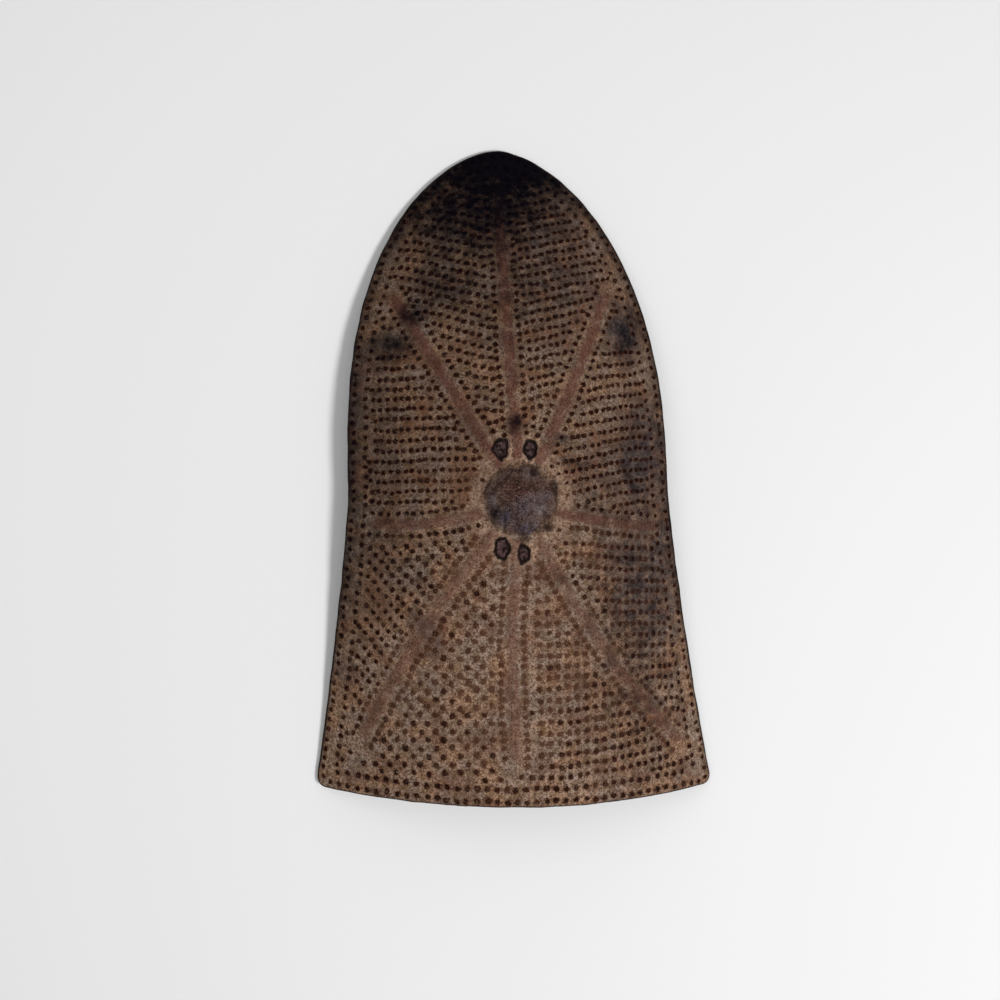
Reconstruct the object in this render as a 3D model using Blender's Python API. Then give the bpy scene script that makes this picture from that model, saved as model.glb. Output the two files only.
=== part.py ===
# A moulded hide shield lying face up on its rim: the embossed hide, and the rawhide grip behind its boss.
# Metres, +Z out of the face, +Y towards the rounded top, X across the width.

import math
import random

import bmesh
import bpy
from mathutils import Vector
from mathutils.geometry import delaunay_2d_cdt

# Plan of the hide
LENGTH = 0.900
BASE_WIDTH = 0.5655
WAIST_WIDTH = 0.4495
WAIST_FROM_BASE = 0.419
BASE_CORNER_RADIUS = 0.016
BASE_BOW = 0.008
ARCH_POWER = 0.585
ARCH_FULLNESS = 2.57
FLARE_POWER = 1.22
LEAN = 0.0375

# Curve of the hide, as heights of its outer face over the lowest part of its rim
CREST_HEIGHT = 0.124
CREST_FROM_BASE = 0.470
BASE_CREST_DROP = 0.012
RIM_LIFT = 0.030
THICKNESS = 0.006
EDGE_ROUNDING = 0.0018

# Boss, pushed out of the hide from behind, so it is hollow
BOSS_OFFSET = 0.0073
BOSS_FROM_BASE = 0.4073
BOSS_RADIUS = 0.050
BOSS_RISE = 0.024
BOSS_WALL = 0.006
SMOOTH_RING = 0.022
BAND_MARGIN = 0.004

# Raised bands, as their angles in degrees at the boss and at the rim,
# and their lengths from the boss's centre
BAND_WIDTH = 0.019
BAND_RISE = 0.0022
BANDS = (
    ("right", -17, -10, 0.207),
    ("upper right", 66, 67, 0.316),
    ("top", 96, 94, 0.460),
    ("upper left", 123, 122, 0.333),
    ("left", 200, 190, 0.208),
    ("lower left", 231, 238, 0.394),
    ("bottom", 265, 270, 0.358),
    ("lower right", 296, 305, 0.418),
)

# Embossed knobs. Each field lies between a band and the next one: the rows' angle at the boss's side
# and at the rim, the columns' angle, the step along a row and the step between rows
KNOB_RISE = 0.0018
KNOB_JITTER = 0.0007
FIELDS = (
    (20, 2, 92, 0.0108, 0.0140),
    (14, 14, 92, 0.0106, 0.0126),
    (-14, -14, 92, 0.0111, 0.0136),
    (2, 2, 92, 0.0108, 0.0140),
    (-45, -45, 45, 0.0124, 0.0152),
    (-44, -44, 46, 0.0150, 0.0162),
    (0, 9, 90, 0.0130, 0.0150),
    (-10, -1, 88, 0.0118, 0.0148),
)
FLANK_OFFSET = 0.0156
FLANK_PITCH = 0.0113
RIM_ROW_INSETS = (0.0085, 0.0255)
RIM_ROW_PITCH = 0.0134
LANE_INSET = 0.0170
LANE_RISE = 0.0012
# Shares of a pitch that knobs and ground points keep apart,
# and the room of the points of lanes, bands and slots
KNOB_ROOM = 0.74
GROUND_ROOM = 0.68
LANE_ROOM = 0.005
BAND_ROOM = 0.006
FLANK_ROOM = 0.0055
SLOT_ROOM = 0.002
# Bare patches in the fields, as places from the boss's centre and half sizes
BARE_PATCHES = ((-0.180, 0.210, 0.034, 0.014), (0.147, 0.235, 0.020, 0.030))

# Slots for the grip's ends, as places from the boss's centre, half widths and half lengths
SLOTS = (
    ("upper left", -0.029, 0.068, 0.0078, 0.0112),
    ("upper right", 0.011, 0.067, 0.0067, 0.0101),
    ("lower left", -0.025, -0.064, 0.0081, 0.0121),
    ("lower right", 0.004, -0.072, 0.0059, 0.0101),
)
SLOT_FLARE = 0.0025
SLOT_FLARE_DEPTH = 0.0035
SLOT_CLEARANCE = 0.0004
HEAD_GAP = 0.0010

# Grip, with as many sides as its slots. It forks into a leg for each slot, and both legs share a crotch.
SIDES = 12
FINGER_GAP = 0.030
GRIP_WIDTH = 0.027
GRIP_THICKNESS = 0.018
GRIP_END_DEPTH = 0.017
BAR_SQUARENESS = 0.7
CROTCH_RISE = 0.006
HEAD_DOME = 0.0008
GRIP_STATIONS = 11
LEG_STATIONS = 4

# Fineness of the facets
OUTLINE_STEP = 0.0185
OUTLINE_TURN = 24
LANE_STEP = 0.0180
BAND_STEP = 0.019
BACK_STEP = 0.050

OUTLINE_SAMPLES = 240
OUTLINE_GRAIN = 0.002
LINE_SAMPLES = 60
INSET_REACH = 40

BASE_Y = -LENGTH / 2
WAIST_Y = BASE_Y + WAIST_FROM_BASE
CREST_Y = BASE_Y + CREST_FROM_BASE
BOSS_Y = BASE_Y + BOSS_FROM_BASE
BAND_START = BOSS_RADIUS + BAND_MARGIN
GROUND, KNOB, BAND, LANE = range(4)
RISES = {GROUND: 0.0, KNOB: KNOB_RISE, BAND: BAND_RISE, LANE: LANE_RISE}


# Form of the hide

def half_width(y):
    if y >= WAIST_Y:
        rise = min(1.0, (y - WAIST_Y) / (LENGTH / 2 - WAIST_Y))
        return WAIST_WIDTH / 2 * (1 - rise ** ARCH_FULLNESS) ** ARCH_POWER
    fall = min(1.0, (WAIST_Y - y) / WAIST_FROM_BASE)
    return WAIST_WIDTH / 2 + (BASE_WIDTH - WAIST_WIDTH) / 2 * fall ** FLARE_POWER


def centre_line(y):
    return LEAN * (0.5 - (y - BASE_Y) / LENGTH)


def crest_height(y):
    if y < CREST_Y:
        return CREST_HEIGHT - BASE_CREST_DROP * ((CREST_Y - y) / CREST_FROM_BASE) ** 2
    fall = min(1.0, (y - CREST_Y) / (LENGTH / 2 - CREST_Y))
    return CREST_HEIGHT - (CREST_HEIGHT - THICKNESS) * fall ** 2.2


def rim_height(y):
    return THICKNESS + RIM_LIFT * math.cos(math.pi * min(abs(y), LENGTH / 2) / LENGTH) ** 2


def bend(y):
    narrowest = WAIST_WIDTH / 16
    return max(0.0, crest_height(y) - rim_height(y)) / max(half_width(y), narrowest) ** 2


BOSS_X = centre_line(BOSS_Y) + BOSS_OFFSET
BOSS_CENTRE = Vector((BOSS_X, BOSS_Y))


def boss_swell(x, y, radius):
    share = math.hypot(x - BOSS_X, y - BOSS_Y) / radius
    return BOSS_RISE * max(0.0, 1 - share ** 2)


def plain_height(x, y):
    return crest_height(y) - bend(y) * (x - centre_line(y)) ** 2


def face_height(x, y):
    return plain_height(x, y) + boss_swell(x, y, BOSS_RADIUS)


def back_height(x, y):
    slope = 2 * bend(y) * (x - centre_line(y))
    deep = THICKNESS * math.sqrt(1 + slope ** 2)
    return plain_height(x, y) - deep + boss_swell(x, y, BOSS_RADIUS - BOSS_WALL)


# Plan curves

def spaced(points, step, closed, phase=0.0):
    """Points at even steps along a line."""
    line = points + points[:1] if closed else points
    lengths = [0.0]
    for here, after in zip(line, line[1:]):
        lengths.append(lengths[-1] + (after - here).length)
    count = max(2, round(lengths[-1] / step))
    spots = []
    segment = 0
    for index in range(count if closed else count + 1):
        target = (index + phase) * lengths[-1] / count
        if target > lengths[-1]:
            break
        while segment < len(lengths) - 2 and lengths[segment + 1] < target:
            segment += 1
        span = max(lengths[segment + 1] - lengths[segment], 1e-9)
        spots.append(line[segment].lerp(line[segment + 1], (target - lengths[segment]) / span))
    return spots


def edge_outline():
    """The outer edge, anticlockwise from the base's right corner, with a point every few millimetres."""
    right = []
    for step in range(OUTLINE_SAMPLES):
        y = BASE_Y + WAIST_FROM_BASE * (step / OUTLINE_SAMPLES) ** 1.5
        corner = max(0.0, BASE_CORNER_RADIUS - (y - BASE_Y))
        nip = BASE_CORNER_RADIUS - math.sqrt(BASE_CORNER_RADIUS ** 2 - corner ** 2)
        right.append((half_width(y) - nip, y))
    for step in range(OUTLINE_SAMPLES):
        turn = math.pi / 2 * step / OUTLINE_SAMPLES
        y = WAIST_Y + (LENGTH / 2 - WAIST_Y) * math.sin(turn)
        right.append((half_width(y), y))
    left = [(-x, y) for x, y in reversed(right)]
    outline = [Vector((x + centre_line(y), y)) for x, y in right + [(0.0, LENGTH / 2)] + left]
    start, end = outline[-1], outline[0]
    for step in range(1, OUTLINE_SAMPLES):
        share = step / OUTLINE_SAMPLES
        spot = start.lerp(end, share)
        spot.y -= 4 * BASE_BOW * share * (1 - share)
        outline.append(spot)
    return spaced(outline, OUTLINE_GRAIN, True)


def rim_points(outline):
    """Points of the outline at even steps, and closer where it turns."""
    picked = []
    run = turn = 0.0
    for index, spot in enumerate(outline):
        before = spot - outline[index - 1]
        after = outline[(index + 1) % len(outline)] - spot
        run += before.length
        turn += abs(math.degrees(before.angle_signed(after, 0.0)))
        if not picked or run >= OUTLINE_STEP or turn >= OUTLINE_TURN:
            picked.append(spot)
            run = turn = 0.0
    return picked


def inset(outline, distance):
    """The outline moved inwards, without the loops that a corner would make."""
    count = len(outline)
    moved = []
    for index, spot in enumerate(outline):
        along = (outline[(index + 2) % count] - outline[index - 2]).normalized()
        inner = spot + Vector((-along.y, along.x)) * distance
        near = range(index - INSET_REACH, index + INSET_REACH + 1)
        if all((inner - outline[other % count]).length > distance * 0.97 for other in near):
            moved.append(inner)
    return moved


def band_angle(band, radius):
    _, near, far, reach = band
    share = min(1.0, max(0.0, (radius - BOSS_RADIUS) / (reach - BOSS_RADIUS)))
    return math.radians(near + (far - near) * share)


def band_line(band, offset, start, end, step, phase=0.0):
    """Points along a band, moved sideways from its middle."""
    middle = []
    for index in range(LINE_SAMPLES + 1):
        radius = start + (end - start) * index / LINE_SAMPLES
        angle = band_angle(band, radius)
        side = Vector((-math.sin(angle), math.cos(angle)))
        spot = Vector((BOSS_X + radius * math.cos(angle), BOSS_Y + radius * math.sin(angle)))
        middle.append(spot + side * offset)
    return spaced(middle, step, False, phase)


def slot_centre(slot):
    return Vector((BOSS_X + slot[1], BOSS_Y + slot[2]))


def slot_loop(slot, growth):
    centre = slot_centre(slot)
    turns = [2 * math.pi * side / SIDES for side in range(SIDES)]
    wide = slot[3] + growth
    long = slot[4] + growth
    return [centre + Vector((wide * math.cos(turn), long * math.sin(turn))) for turn in turns]


# Layout of the embossing

class Spots:
    """Points in the plan, each with its kind, kept a distance apart along the curved face."""

    def __init__(self):
        self.cells = {}
        self.points = []

    @staticmethod
    def cell(spot):
        return int(spot.x // 0.02), int(spot.y // 0.02)

    def free(self, spot, distance):
        column, row = self.cell(spot)
        steep = steepness(spot)
        for across in (-1, 0, 1):
            for up in (-1, 0, 1):
                for other in self.cells.get((column + across, row + up), ()):
                    if math.hypot((spot.x - other.x) * steep, spot.y - other.y) < distance:
                        return False
        return True

    def add(self, spot, kind, distance):
        if self.free(spot, distance):
            self.points.append((spot, kind))
            self.cells.setdefault(self.cell(spot), []).append(spot)


def steepness(spot):
    return math.sqrt(1 + (2 * bend(spot.y) * (spot.x - centre_line(spot.y))) ** 2)


def field_of(spot):
    """The field that a point lies in, counted from the first band."""
    radius = math.hypot(spot.x - BOSS_X, spot.y - BOSS_Y)
    angle = math.atan2(spot.y - BOSS_Y, spot.x - BOSS_X)
    starts = [band_angle(band, radius) for band in BANDS]
    turns = [(angle - start) % (2 * math.pi) for start in starts]
    return turns.index(min(turns))


def arc_to_plan(arc, y):
    """The plan distance from the centre line to a point this far along the curved face."""
    double_bend = 2 * bend(y)
    plan = arc
    for _ in range(4):
        slope = double_bend * plan
        steep = math.sqrt(1 + slope ** 2)
        length = plan / 2 * steep + math.asinh(slope) / (2 * double_bend + 1e-9)
        plan -= (length - arc) / steep
    return plan


def field_lattice(field, halves):
    """Points of a field's grid of rows and columns, or of the grid between them."""
    inner, outer, column, along, between = FIELDS[field]
    row_way = math.radians(inner)
    column_way = math.radians(column)
    climb = between / math.sin(column_way - row_way)
    bow = (math.tan(math.radians(outer)) - math.tan(row_way)) / (WAIST_WIDTH / 2) / 2
    shift = 0.5 if halves else 0.0
    reach = int(LENGTH / along)
    for row in range(-reach, reach):
        for step in range(-reach, reach):
            run = (step + shift) * along
            lift = (row + shift) * climb
            arc = run * math.cos(row_way) + lift * math.cos(column_way)
            y = BOSS_Y + run * math.sin(row_way) + lift * math.sin(column_way) + bow * arc * abs(arc)
            if abs(y) < LENGTH / 2 and abs(arc) < BASE_WIDTH:
                yield Vector((centre_line(y) + arc_to_plan(arc, y), y))


def in_bare_patch(spot):
    from_boss = spot - BOSS_CENTRE
    for x, y, wide, tall in BARE_PATCHES:
        if ((from_boss.x - x) / wide) ** 2 + ((from_boss.y - y) / tall) ** 2 < 1:
            return True
    return False


def clear_of_slots(spot, margin):
    return all((spot - slot_centre(slot)).length > slot[4] + SLOT_FLARE + margin for slot in SLOTS)


def knob_spots(outline):
    """The knobs: two rows along the rim, a row on both flanks of each band, and the fields between."""
    chance = random.Random(5)
    knobs = Spots()

    def add(spot, distance):
        shake = Vector((chance.uniform(-1, 1), chance.uniform(-1, 1))) * KNOB_JITTER
        knobs.add(spot + shake, KNOB, distance)

    for distance in RIM_ROW_INSETS:
        for spot in spaced(inset(outline, distance), RIM_ROW_PITCH, True, 0.5):
            add(spot, KNOB_ROOM * RIM_ROW_PITCH)
    field_edge = inset(outline, RIM_ROW_INSETS[-1] + FLANK_PITCH / 2)
    bands = Spots()
    for band in BANDS:
        for spot in band_line(band, 0.0, BAND_START, band[3], FLANK_PITCH / 2):
            bands.add(spot, BAND, 0.0)

    def allowed(spot):
        far = (spot - BOSS_CENTRE).length > BOSS_RADIUS + SMOOTH_RING
        return far and clear_of_slots(spot, FLANK_PITCH / 2) and inside_loop(spot, field_edge)

    for band in BANDS:
        for side in (-1, 1):
            for spot in band_line(band, side * FLANK_OFFSET, BAND_START, band[3], FLANK_PITCH):
                if allowed(spot) and bands.free(spot, FLANK_OFFSET * 0.9):
                    add(spot, KNOB_ROOM * FLANK_PITCH)
    for field in range(len(FIELDS)):
        pitch = FIELDS[field][3]
        for spot in field_lattice(field, False):
            if field_of(spot) != field or in_bare_patch(spot) or not allowed(spot):
                continue
            if bands.free(spot, FLANK_OFFSET * 0.95):
                add(spot, KNOB_ROOM * pitch)
    return knobs


def embossing(outline):
    """The knobs and, between them, the points that hold the bands, the rim's lane and the ground."""
    spots = knob_spots(outline)
    for spot in spaced(inset(outline, LANE_INSET), LANE_STEP, True):
        spots.add(spot, LANE, LANE_ROOM)
    for band in BANDS:
        for spot in band_line(band, 0.0, BAND_START, band[3], BAND_STEP):
            if clear_of_slots(spot, SLOT_ROOM):
                spots.add(spot, BAND, BAND_ROOM)
        for side in (-1, 1):
            for spot in band_line(band, side * BAND_WIDTH / 2, BAND_START, band[3], BAND_STEP, 0.5):
                if clear_of_slots(spot, SLOT_ROOM):
                    spots.add(spot, GROUND, FLANK_ROOM)
    inner_ground = RIM_ROW_INSETS[-1] + RIM_ROW_PITCH / 2
    for spot in spaced(inset(outline, inner_ground), RIM_ROW_PITCH, True):
        spots.add(spot, GROUND, GROUND_ROOM * RIM_ROW_PITCH)
    field_edge = inset(outline, LANE_INSET)
    for field in range(len(FIELDS)):
        pitch = FIELDS[field][3]
        for spot in field_lattice(field, True):
            clear = (spot - BOSS_CENTRE).length > BOSS_RADIUS + pitch / 2 and clear_of_slots(spot, SLOT_ROOM)
            if clear and field_of(spot) == field and inside_loop(spot, field_edge):
                spots.add(spot, GROUND, GROUND_ROOM * pitch)
    return spots.points


# Meshes

def ring(radius, count, phase):
    turns = [2 * math.pi * (index + phase) / count for index in range(count)]
    return [Vector((BOSS_X + radius * math.cos(turn), BOSS_Y + radius * math.sin(turn))) for turn in turns]


def boss_rings(radius):
    spots = [Vector((BOSS_X, BOSS_Y))]
    for index, (share, count) in enumerate(((0.28, 8), (0.52, 14), (0.74, 20), (0.9, 24), (1.0, 26))):
        spots += ring(radius * share, count, 0.5 * (index % 2))
    return spots


def triangulated(loops, spots):
    """Triangles of the plan between the first loop and the loops inside it, through the spots."""
    points = [spot for loop in loops for spot in loop] + spots
    edges = []
    for group in loop_groups(loops):
        edges += list(zip(group, [*group[1:], group[0]]))
    corners, _, faces, sources, _, _ = delaunay_2d_cdt(points, edges, [], 1, 1e-7)
    kept = []
    for face in faces:
        middle = sum((corners[corner] for corner in face), Vector((0, 0))) / 3
        if not any(inside_loop(middle, loop) for loop in loops[1:]):
            kept.append(face)
    return corners, kept, [min(source) if source else None for source in sources]


def inside_loop(spot, loop):
    crossings = 0
    for here, after in zip(loop, loop[1:] + loop[:1]):
        if (here.y > spot.y) != (after.y > spot.y):
            cut = here.x + (spot.y - here.y) / (after.y - here.y) * (after.x - here.x)
            crossings += cut > spot.x
    return crossings % 2 == 1


def part_knobs(mesh, knobs):
    """Turns each edge that joins two knobs, so that every knob stands alone."""
    for edge in [edge for edge in mesh.edges if all(vert in knobs for vert in edge.verts)]:
        if len(edge.link_faces) != 2:
            continue
        tips = [vert for face in edge.link_faces for vert in face.verts if vert not in edge.verts]
        if any(vert in knobs for vert in tips):
            continue
        ends = [vert.co.xy for vert in edge.verts]
        across = tips[1].co.xy - tips[0].co.xy
        sides = [across.cross(end - tips[0].co.xy) for end in ends]
        if sides[0] * sides[1] < 0 and min(abs(side) for side in sides) > 1e-6:
            bmesh.utils.edge_rotate(edge, False)


def add_face(mesh, verts):
    if len(set(verts)) == 3:
        mesh.faces.new(verts)


def bridge(mesh, upper, lower):
    """Two triangles between each pair of matching steps of two loops."""
    count = len(upper)
    for index in range(count):
        after = (index + 1) % count
        add_face(mesh, (upper[index], lower[index], lower[after]))
        add_face(mesh, (upper[index], lower[after], upper[after]))


def material(name, colour, roughness):
    made = bpy.data.materials.new(name)
    made.use_nodes = True
    shader = made.node_tree.nodes["Principled BSDF"]
    shader.inputs["Base Color"].default_value = (*colour, 1.0)
    shader.inputs["Roughness"].default_value = roughness
    shader.inputs["Metallic"].default_value = 0.0
    return made


def place(name, mesh, surface):
    data = bpy.data.meshes.new(name)
    mesh.to_mesh(data)
    mesh.free()
    data.materials.append(surface)
    thing = bpy.data.objects.new(name, data)
    bpy.context.scene.collection.objects.link(thing)
    return thing


def loop_groups(loops):
    first = 0
    for loop in loops:
        yield list(range(first, first + len(loop)))
        first += len(loop)


def nearest(points, spot):
    return min(points, key=lambda other: (other - spot).length_squared)


def face_sheet(mesh, rim, spots):
    """The embossed outer face. Returns its rim loop and slot loops."""
    loops = [rim] + [slot_loop(slot, SLOT_FLARE) for slot in SLOTS]
    looped = sum(len(loop) for loop in loops)
    inner = spots + [(spot, GROUND) for spot in boss_rings(BOSS_RADIUS)]
    corners, faces, sources = triangulated(loops, [spot for spot, _ in inner])
    verts = []
    knobs = set()
    for spot, source in zip(corners, sources):
        kind = inner[source - looped][1] if source is not None and source >= looped else GROUND
        vert = mesh.verts.new((spot.x, spot.y, face_height(spot.x, spot.y) + RISES[kind]))
        verts.append(vert)
        if kind == KNOB:
            knobs.add(vert)
    for face in faces:
        add_face(mesh, [verts[corner] for corner in face])
    part_knobs(mesh, knobs)
    return [[verts[index] for index in group] for group in loop_groups(loops)]


def back_sheet(mesh, rim):
    """The smooth inner face. Returns its rim loop and slot loops."""
    loops = [rim] + [slot_loop(slot, 0.0) for slot in SLOTS]
    inner = boss_rings(BOSS_RADIUS - BOSS_WALL) + ring(BOSS_RADIUS + BOSS_WALL, 18, 0.5)
    inner = [spot for spot in inner if clear_of_slots(spot, 0.0)]
    columns = int(BASE_WIDTH / BACK_STEP)
    rows = int(LENGTH / BACK_STEP)
    for row in range(-rows, rows):
        for column in range(-columns, columns):
            spot = Vector(((column + 0.5 * (row % 2)) * BACK_STEP, row * BACK_STEP * 0.87))
            clear = (spot - BOSS_CENTRE).length > BOSS_RADIUS + BACK_STEP / 2
            clear = clear and clear_of_slots(spot, BACK_STEP / 4)
            if clear and inside_loop(spot, rim) and (spot - nearest(rim, spot)).length > BACK_STEP / 2:
                inner.append(spot)
    corners, faces, _ = triangulated(loops, inner)
    verts = [mesh.verts.new((spot.x, spot.y, back_height(spot.x, spot.y))) for spot in corners]
    for face in faces:
        add_face(mesh, [verts[corner] for corner in reversed(face)])
    return [[verts[index] for index in group] for group in loop_groups(loops)]


def make_hide():
    outline = edge_outline()
    rim = rim_points(inset(outline, EDGE_ROUNDING))
    mesh = bmesh.new()
    face_loops = face_sheet(mesh, rim, embossing(outline))
    back_loops = back_sheet(mesh, rim)
    edge = []
    for upper, lower in zip(face_loops[0], back_loops[0]):
        spot = nearest(outline, upper.co.xy)
        edge.append(mesh.verts.new((spot.x, spot.y, (upper.co.z + lower.co.z) / 2)))
    bridge(mesh, face_loops[0], edge)
    bridge(mesh, edge, back_loops[0])
    for slot, upper, lower in zip(SLOTS, face_loops[1:], back_loops[1:]):
        seat = []
        for spot in slot_loop(slot, 0.0):
            seat.append(mesh.verts.new((spot.x, spot.y, face_height(spot.x, spot.y) - SLOT_FLARE_DEPTH)))
        bridge(mesh, seat, upper)
        bridge(mesh, lower, seat)
    bmesh.ops.recalc_face_normals(mesh, faces=mesh.faces)
    return place("hide", mesh, material("hide", (0.20, 0.13, 0.09), 0.6))


# Grip

def grip_end(upper):
    """Where the grip forks: the middle of its pair of slots, below the hide."""
    pair = SLOTS[:2] if upper else SLOTS[2:]
    spot = (slot_centre(pair[0]) + slot_centre(pair[1])) / 2
    return Vector((spot.x, spot.y, back_height(spot.x, spot.y) - GRIP_END_DEPTH))


def bar_middles():
    """The middle of each ring of the bar, which bows back from the hide to leave room for the fingers."""
    top, bottom = grip_end(True), grip_end(False)
    low = plain_height(BOSS_X, BOSS_Y) - THICKNESS - FINGER_GAP - GRIP_THICKNESS / 2
    middles = []
    for index in range(GRIP_STATIONS):
        turn = math.pi * index / (GRIP_STATIONS - 1)
        along = math.copysign(abs(math.cos(turn)) ** BAR_SQUARENESS, math.cos(turn))
        ends = top.lerp(bottom, (1 - along) / 2)
        drop = (ends.z - low) * math.sin(turn) ** BAR_SQUARENESS
        middles.append(Vector((ends.x, ends.y, ends.z - drop)))
    return middles


def bar_rings():
    middles = bar_middles()
    rings = []
    for index, middle in enumerate(middles):
        before = middles[max(0, index - 1)]
        after = middles[min(GRIP_STATIONS - 1, index + 1)]
        way = (after - before).normalized()
        if index in (0, GRIP_STATIONS - 1):
            way = Vector((0, 0, -1 if index == 0 else 1))
        across = Vector((1, 0, 0))
        through = way.cross(across).normalized()
        points = []
        for side in range(SIDES):
            turn = 2 * math.pi * side / SIDES
            wide = across * GRIP_WIDTH / 2 * math.cos(turn)
            points.append(middle + wide + through * GRIP_THICKNESS / 2 * math.sin(turn))
        rings.append(points)
    return rings


def fork(mesh, end):
    """Parts the ring at an end of the bar, given anticlockwise from above, into the rings of two legs."""
    quarter = SIDES // 4
    back, front = end[quarter], end[3 * quarter]
    crotch = []
    for step in range(1, 2 * quarter):
        share = step / (2 * quarter)
        spot = back.co.lerp(front.co, share)
        spot.z += CROTCH_RISE * math.sin(math.pi * share)
        crotch.append(mesh.verts.new(spot))
    left = crotch[:quarter][::-1] + end[quarter:3 * quarter + 1] + crotch[quarter:][::-1]
    right = end[:quarter + 1] + crotch + end[3 * quarter:]
    return left, right


def add_leg(mesh, slot, root):
    """One leg, from its ring at the fork up to its flared head in the slot."""
    seat = slot_loop(slot, -SLOT_CLEARANCE)
    below = [Vector((spot.x, spot.y, back_height(spot.x, spot.y) - SLOT_CLEARANCE)) for spot in seat]
    rings = []
    for step in range(1, LEG_STATIONS):
        share = step / LEG_STATIONS
        eased = share ** 2 * (3 - 2 * share)
        ring_points = []
        for start, stop in zip(root, below):
            spot = start.co.lerp(stop, eased)
            spot.z = start.co.z + (stop.z - start.co.z) * share
            ring_points.append(spot)
        rings.append(ring_points)
    neck = [Vector((spot.x, spot.y, face_height(spot.x, spot.y) - SLOT_FLARE_DEPTH)) for spot in seat]
    rings += [below, neck]
    head = slot_loop(slot, SLOT_FLARE - HEAD_GAP)
    rings.append([Vector((spot.x, spot.y, face_height(spot.x, spot.y))) for spot in head])
    lower = root
    for points in rings:
        upper = [mesh.verts.new(point) for point in points]
        bridge(mesh, upper, lower)
        lower = upper
    tip = sum((vert.co for vert in lower), Vector()) / SIDES
    tip.z += HEAD_DOME
    middle = mesh.verts.new(tip)
    for index in range(SIDES):
        add_face(mesh, (lower[index], lower[(index + 1) % SIDES], middle))


def make_grip():
    mesh = bmesh.new()
    rings = [[mesh.verts.new(point) for point in points] for points in bar_rings()]
    for upper, lower in zip(rings, rings[1:]):
        bridge(mesh, upper, lower)
    top_end = rings[0][:1] + rings[0][:0:-1]
    for end, slots in ((top_end, SLOTS[:2]), (rings[-1], SLOTS[2:])):
        for slot, root in zip(slots, fork(mesh, end)):
            add_leg(mesh, slot, root)
    bmesh.ops.recalc_face_normals(mesh, faces=mesh.faces)
    return place("grip", mesh, material("grip", (0.06, 0.035, 0.025), 0.7))


def main():
    for thing in list(bpy.data.objects):
        bpy.data.objects.remove(thing)
    hide = make_hide()
    grip = make_grip()
    corners = [vert.co for vert in hide.data.vertices]
    lows = [min(corner[axis] for corner in corners) for axis in range(3)]
    highs = [max(corner[axis] for corner in corners) for axis in range(3)]
    stand = Vector((-(lows[0] + highs[0]) / 2, -(lows[1] + highs[1]) / 2, -lows[2]))
    for thing in bpy.data.objects:
        thing.location = stand
    for thing in (hide, grip):
        thing.data.shade_smooth()
        thing.data.set_sharp_from_angle(angle=math.radians(40))


main()
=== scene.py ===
import math
import random

import bmesh
import bpy
import numpy as np
from mathutils import Matrix, Vector, noise
from mathutils.geometry import delaunay_2d_cdt
from mathutils.kdtree import KDTree


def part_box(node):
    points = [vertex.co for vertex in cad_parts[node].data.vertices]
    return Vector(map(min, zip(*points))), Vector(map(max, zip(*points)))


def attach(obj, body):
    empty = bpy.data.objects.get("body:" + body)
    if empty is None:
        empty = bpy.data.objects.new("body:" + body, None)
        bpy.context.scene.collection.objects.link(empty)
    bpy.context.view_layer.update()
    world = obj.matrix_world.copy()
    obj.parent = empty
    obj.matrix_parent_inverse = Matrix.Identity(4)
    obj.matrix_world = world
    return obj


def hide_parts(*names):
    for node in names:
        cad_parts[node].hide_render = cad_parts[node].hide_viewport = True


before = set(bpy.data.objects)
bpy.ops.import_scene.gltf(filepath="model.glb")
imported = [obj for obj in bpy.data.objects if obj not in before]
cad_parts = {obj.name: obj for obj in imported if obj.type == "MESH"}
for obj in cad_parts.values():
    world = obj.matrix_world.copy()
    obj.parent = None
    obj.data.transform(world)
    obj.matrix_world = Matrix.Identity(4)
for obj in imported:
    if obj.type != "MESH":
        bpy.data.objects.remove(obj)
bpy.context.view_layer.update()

# The hide: its plan, its curve and its skin. Lengths are in metres throughout.
hide = {
    "length": 0.900,
    "baseWidth": 0.5655,
    "waistWidth": 0.4495,
    "waistFromBase": 0.419,
    "baseCorner": 0.016,
    "baseBow": 0.008,
    "archPower": 0.585,
    "archFullness": 2.57,
    "archFall": 2.2,
    "flarePower": 1.22,
    "lean": 0.0375,
    "crestHeight": 0.124,
    "crestFromBase": 0.470,
    "baseCrestDrop": 0.012,
    "rimLift": 0.030,
    "thickness": 0.006,
    "edgeRounding": 0.0026,
    "unevenness": 0.0009,
    "unevenSize": 0.075,
    "grain": 0.00025,
    "grainSize": 0.006,
    "edgeWobble": 0.0008,
    "wobbleSize": 0.030,
    "backDent": 0.0009,
    "backRough": 0.0004,
    "backRoughSize": 0.02,
}

boss = {
    "offset": 0.0073,
    "fromBase": 0.4073,
    "radius": 0.050,
    "rise": 0.024,
    "wall": 0.006,
    "smoothRing": 0.022,
    "edge": (0.9, 1.1),
    "foot": (0.97, 0.009),
    "dent": 0.0040,
    "dentSize": 0.022,
    "wrinkle": 0.0013,
    "wrinkleSize": 0.0065,
    "wrinkleOnTop": 0.35,
    "fold": 0.0022,
    "foldSize": 0.021,
    "foldWidth": 0.20,
    "cap": (-0.002, 0.041, 0.034, 0.013, 1.0),
}

# Raised bands: their angles in degrees at the boss and at their ends, and their reach from its centre
bands = {
    "width": 0.019,
    "rise": 0.0019,
    "startMargin": 0.004,
    "startFade": (-0.006, 0.014),
    "endFade": (-0.012, 0.004),
    "lines": (
        (-17, -10, 0.207),
        (66, 67, 0.316),
        (96, 94, 0.460),
        (123, 122, 0.333),
        (200, 190, 0.208),
        (231, 238, 0.394),
        (265, 270, 0.358),
        (296, 305, 0.418),
    ),
}

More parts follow.
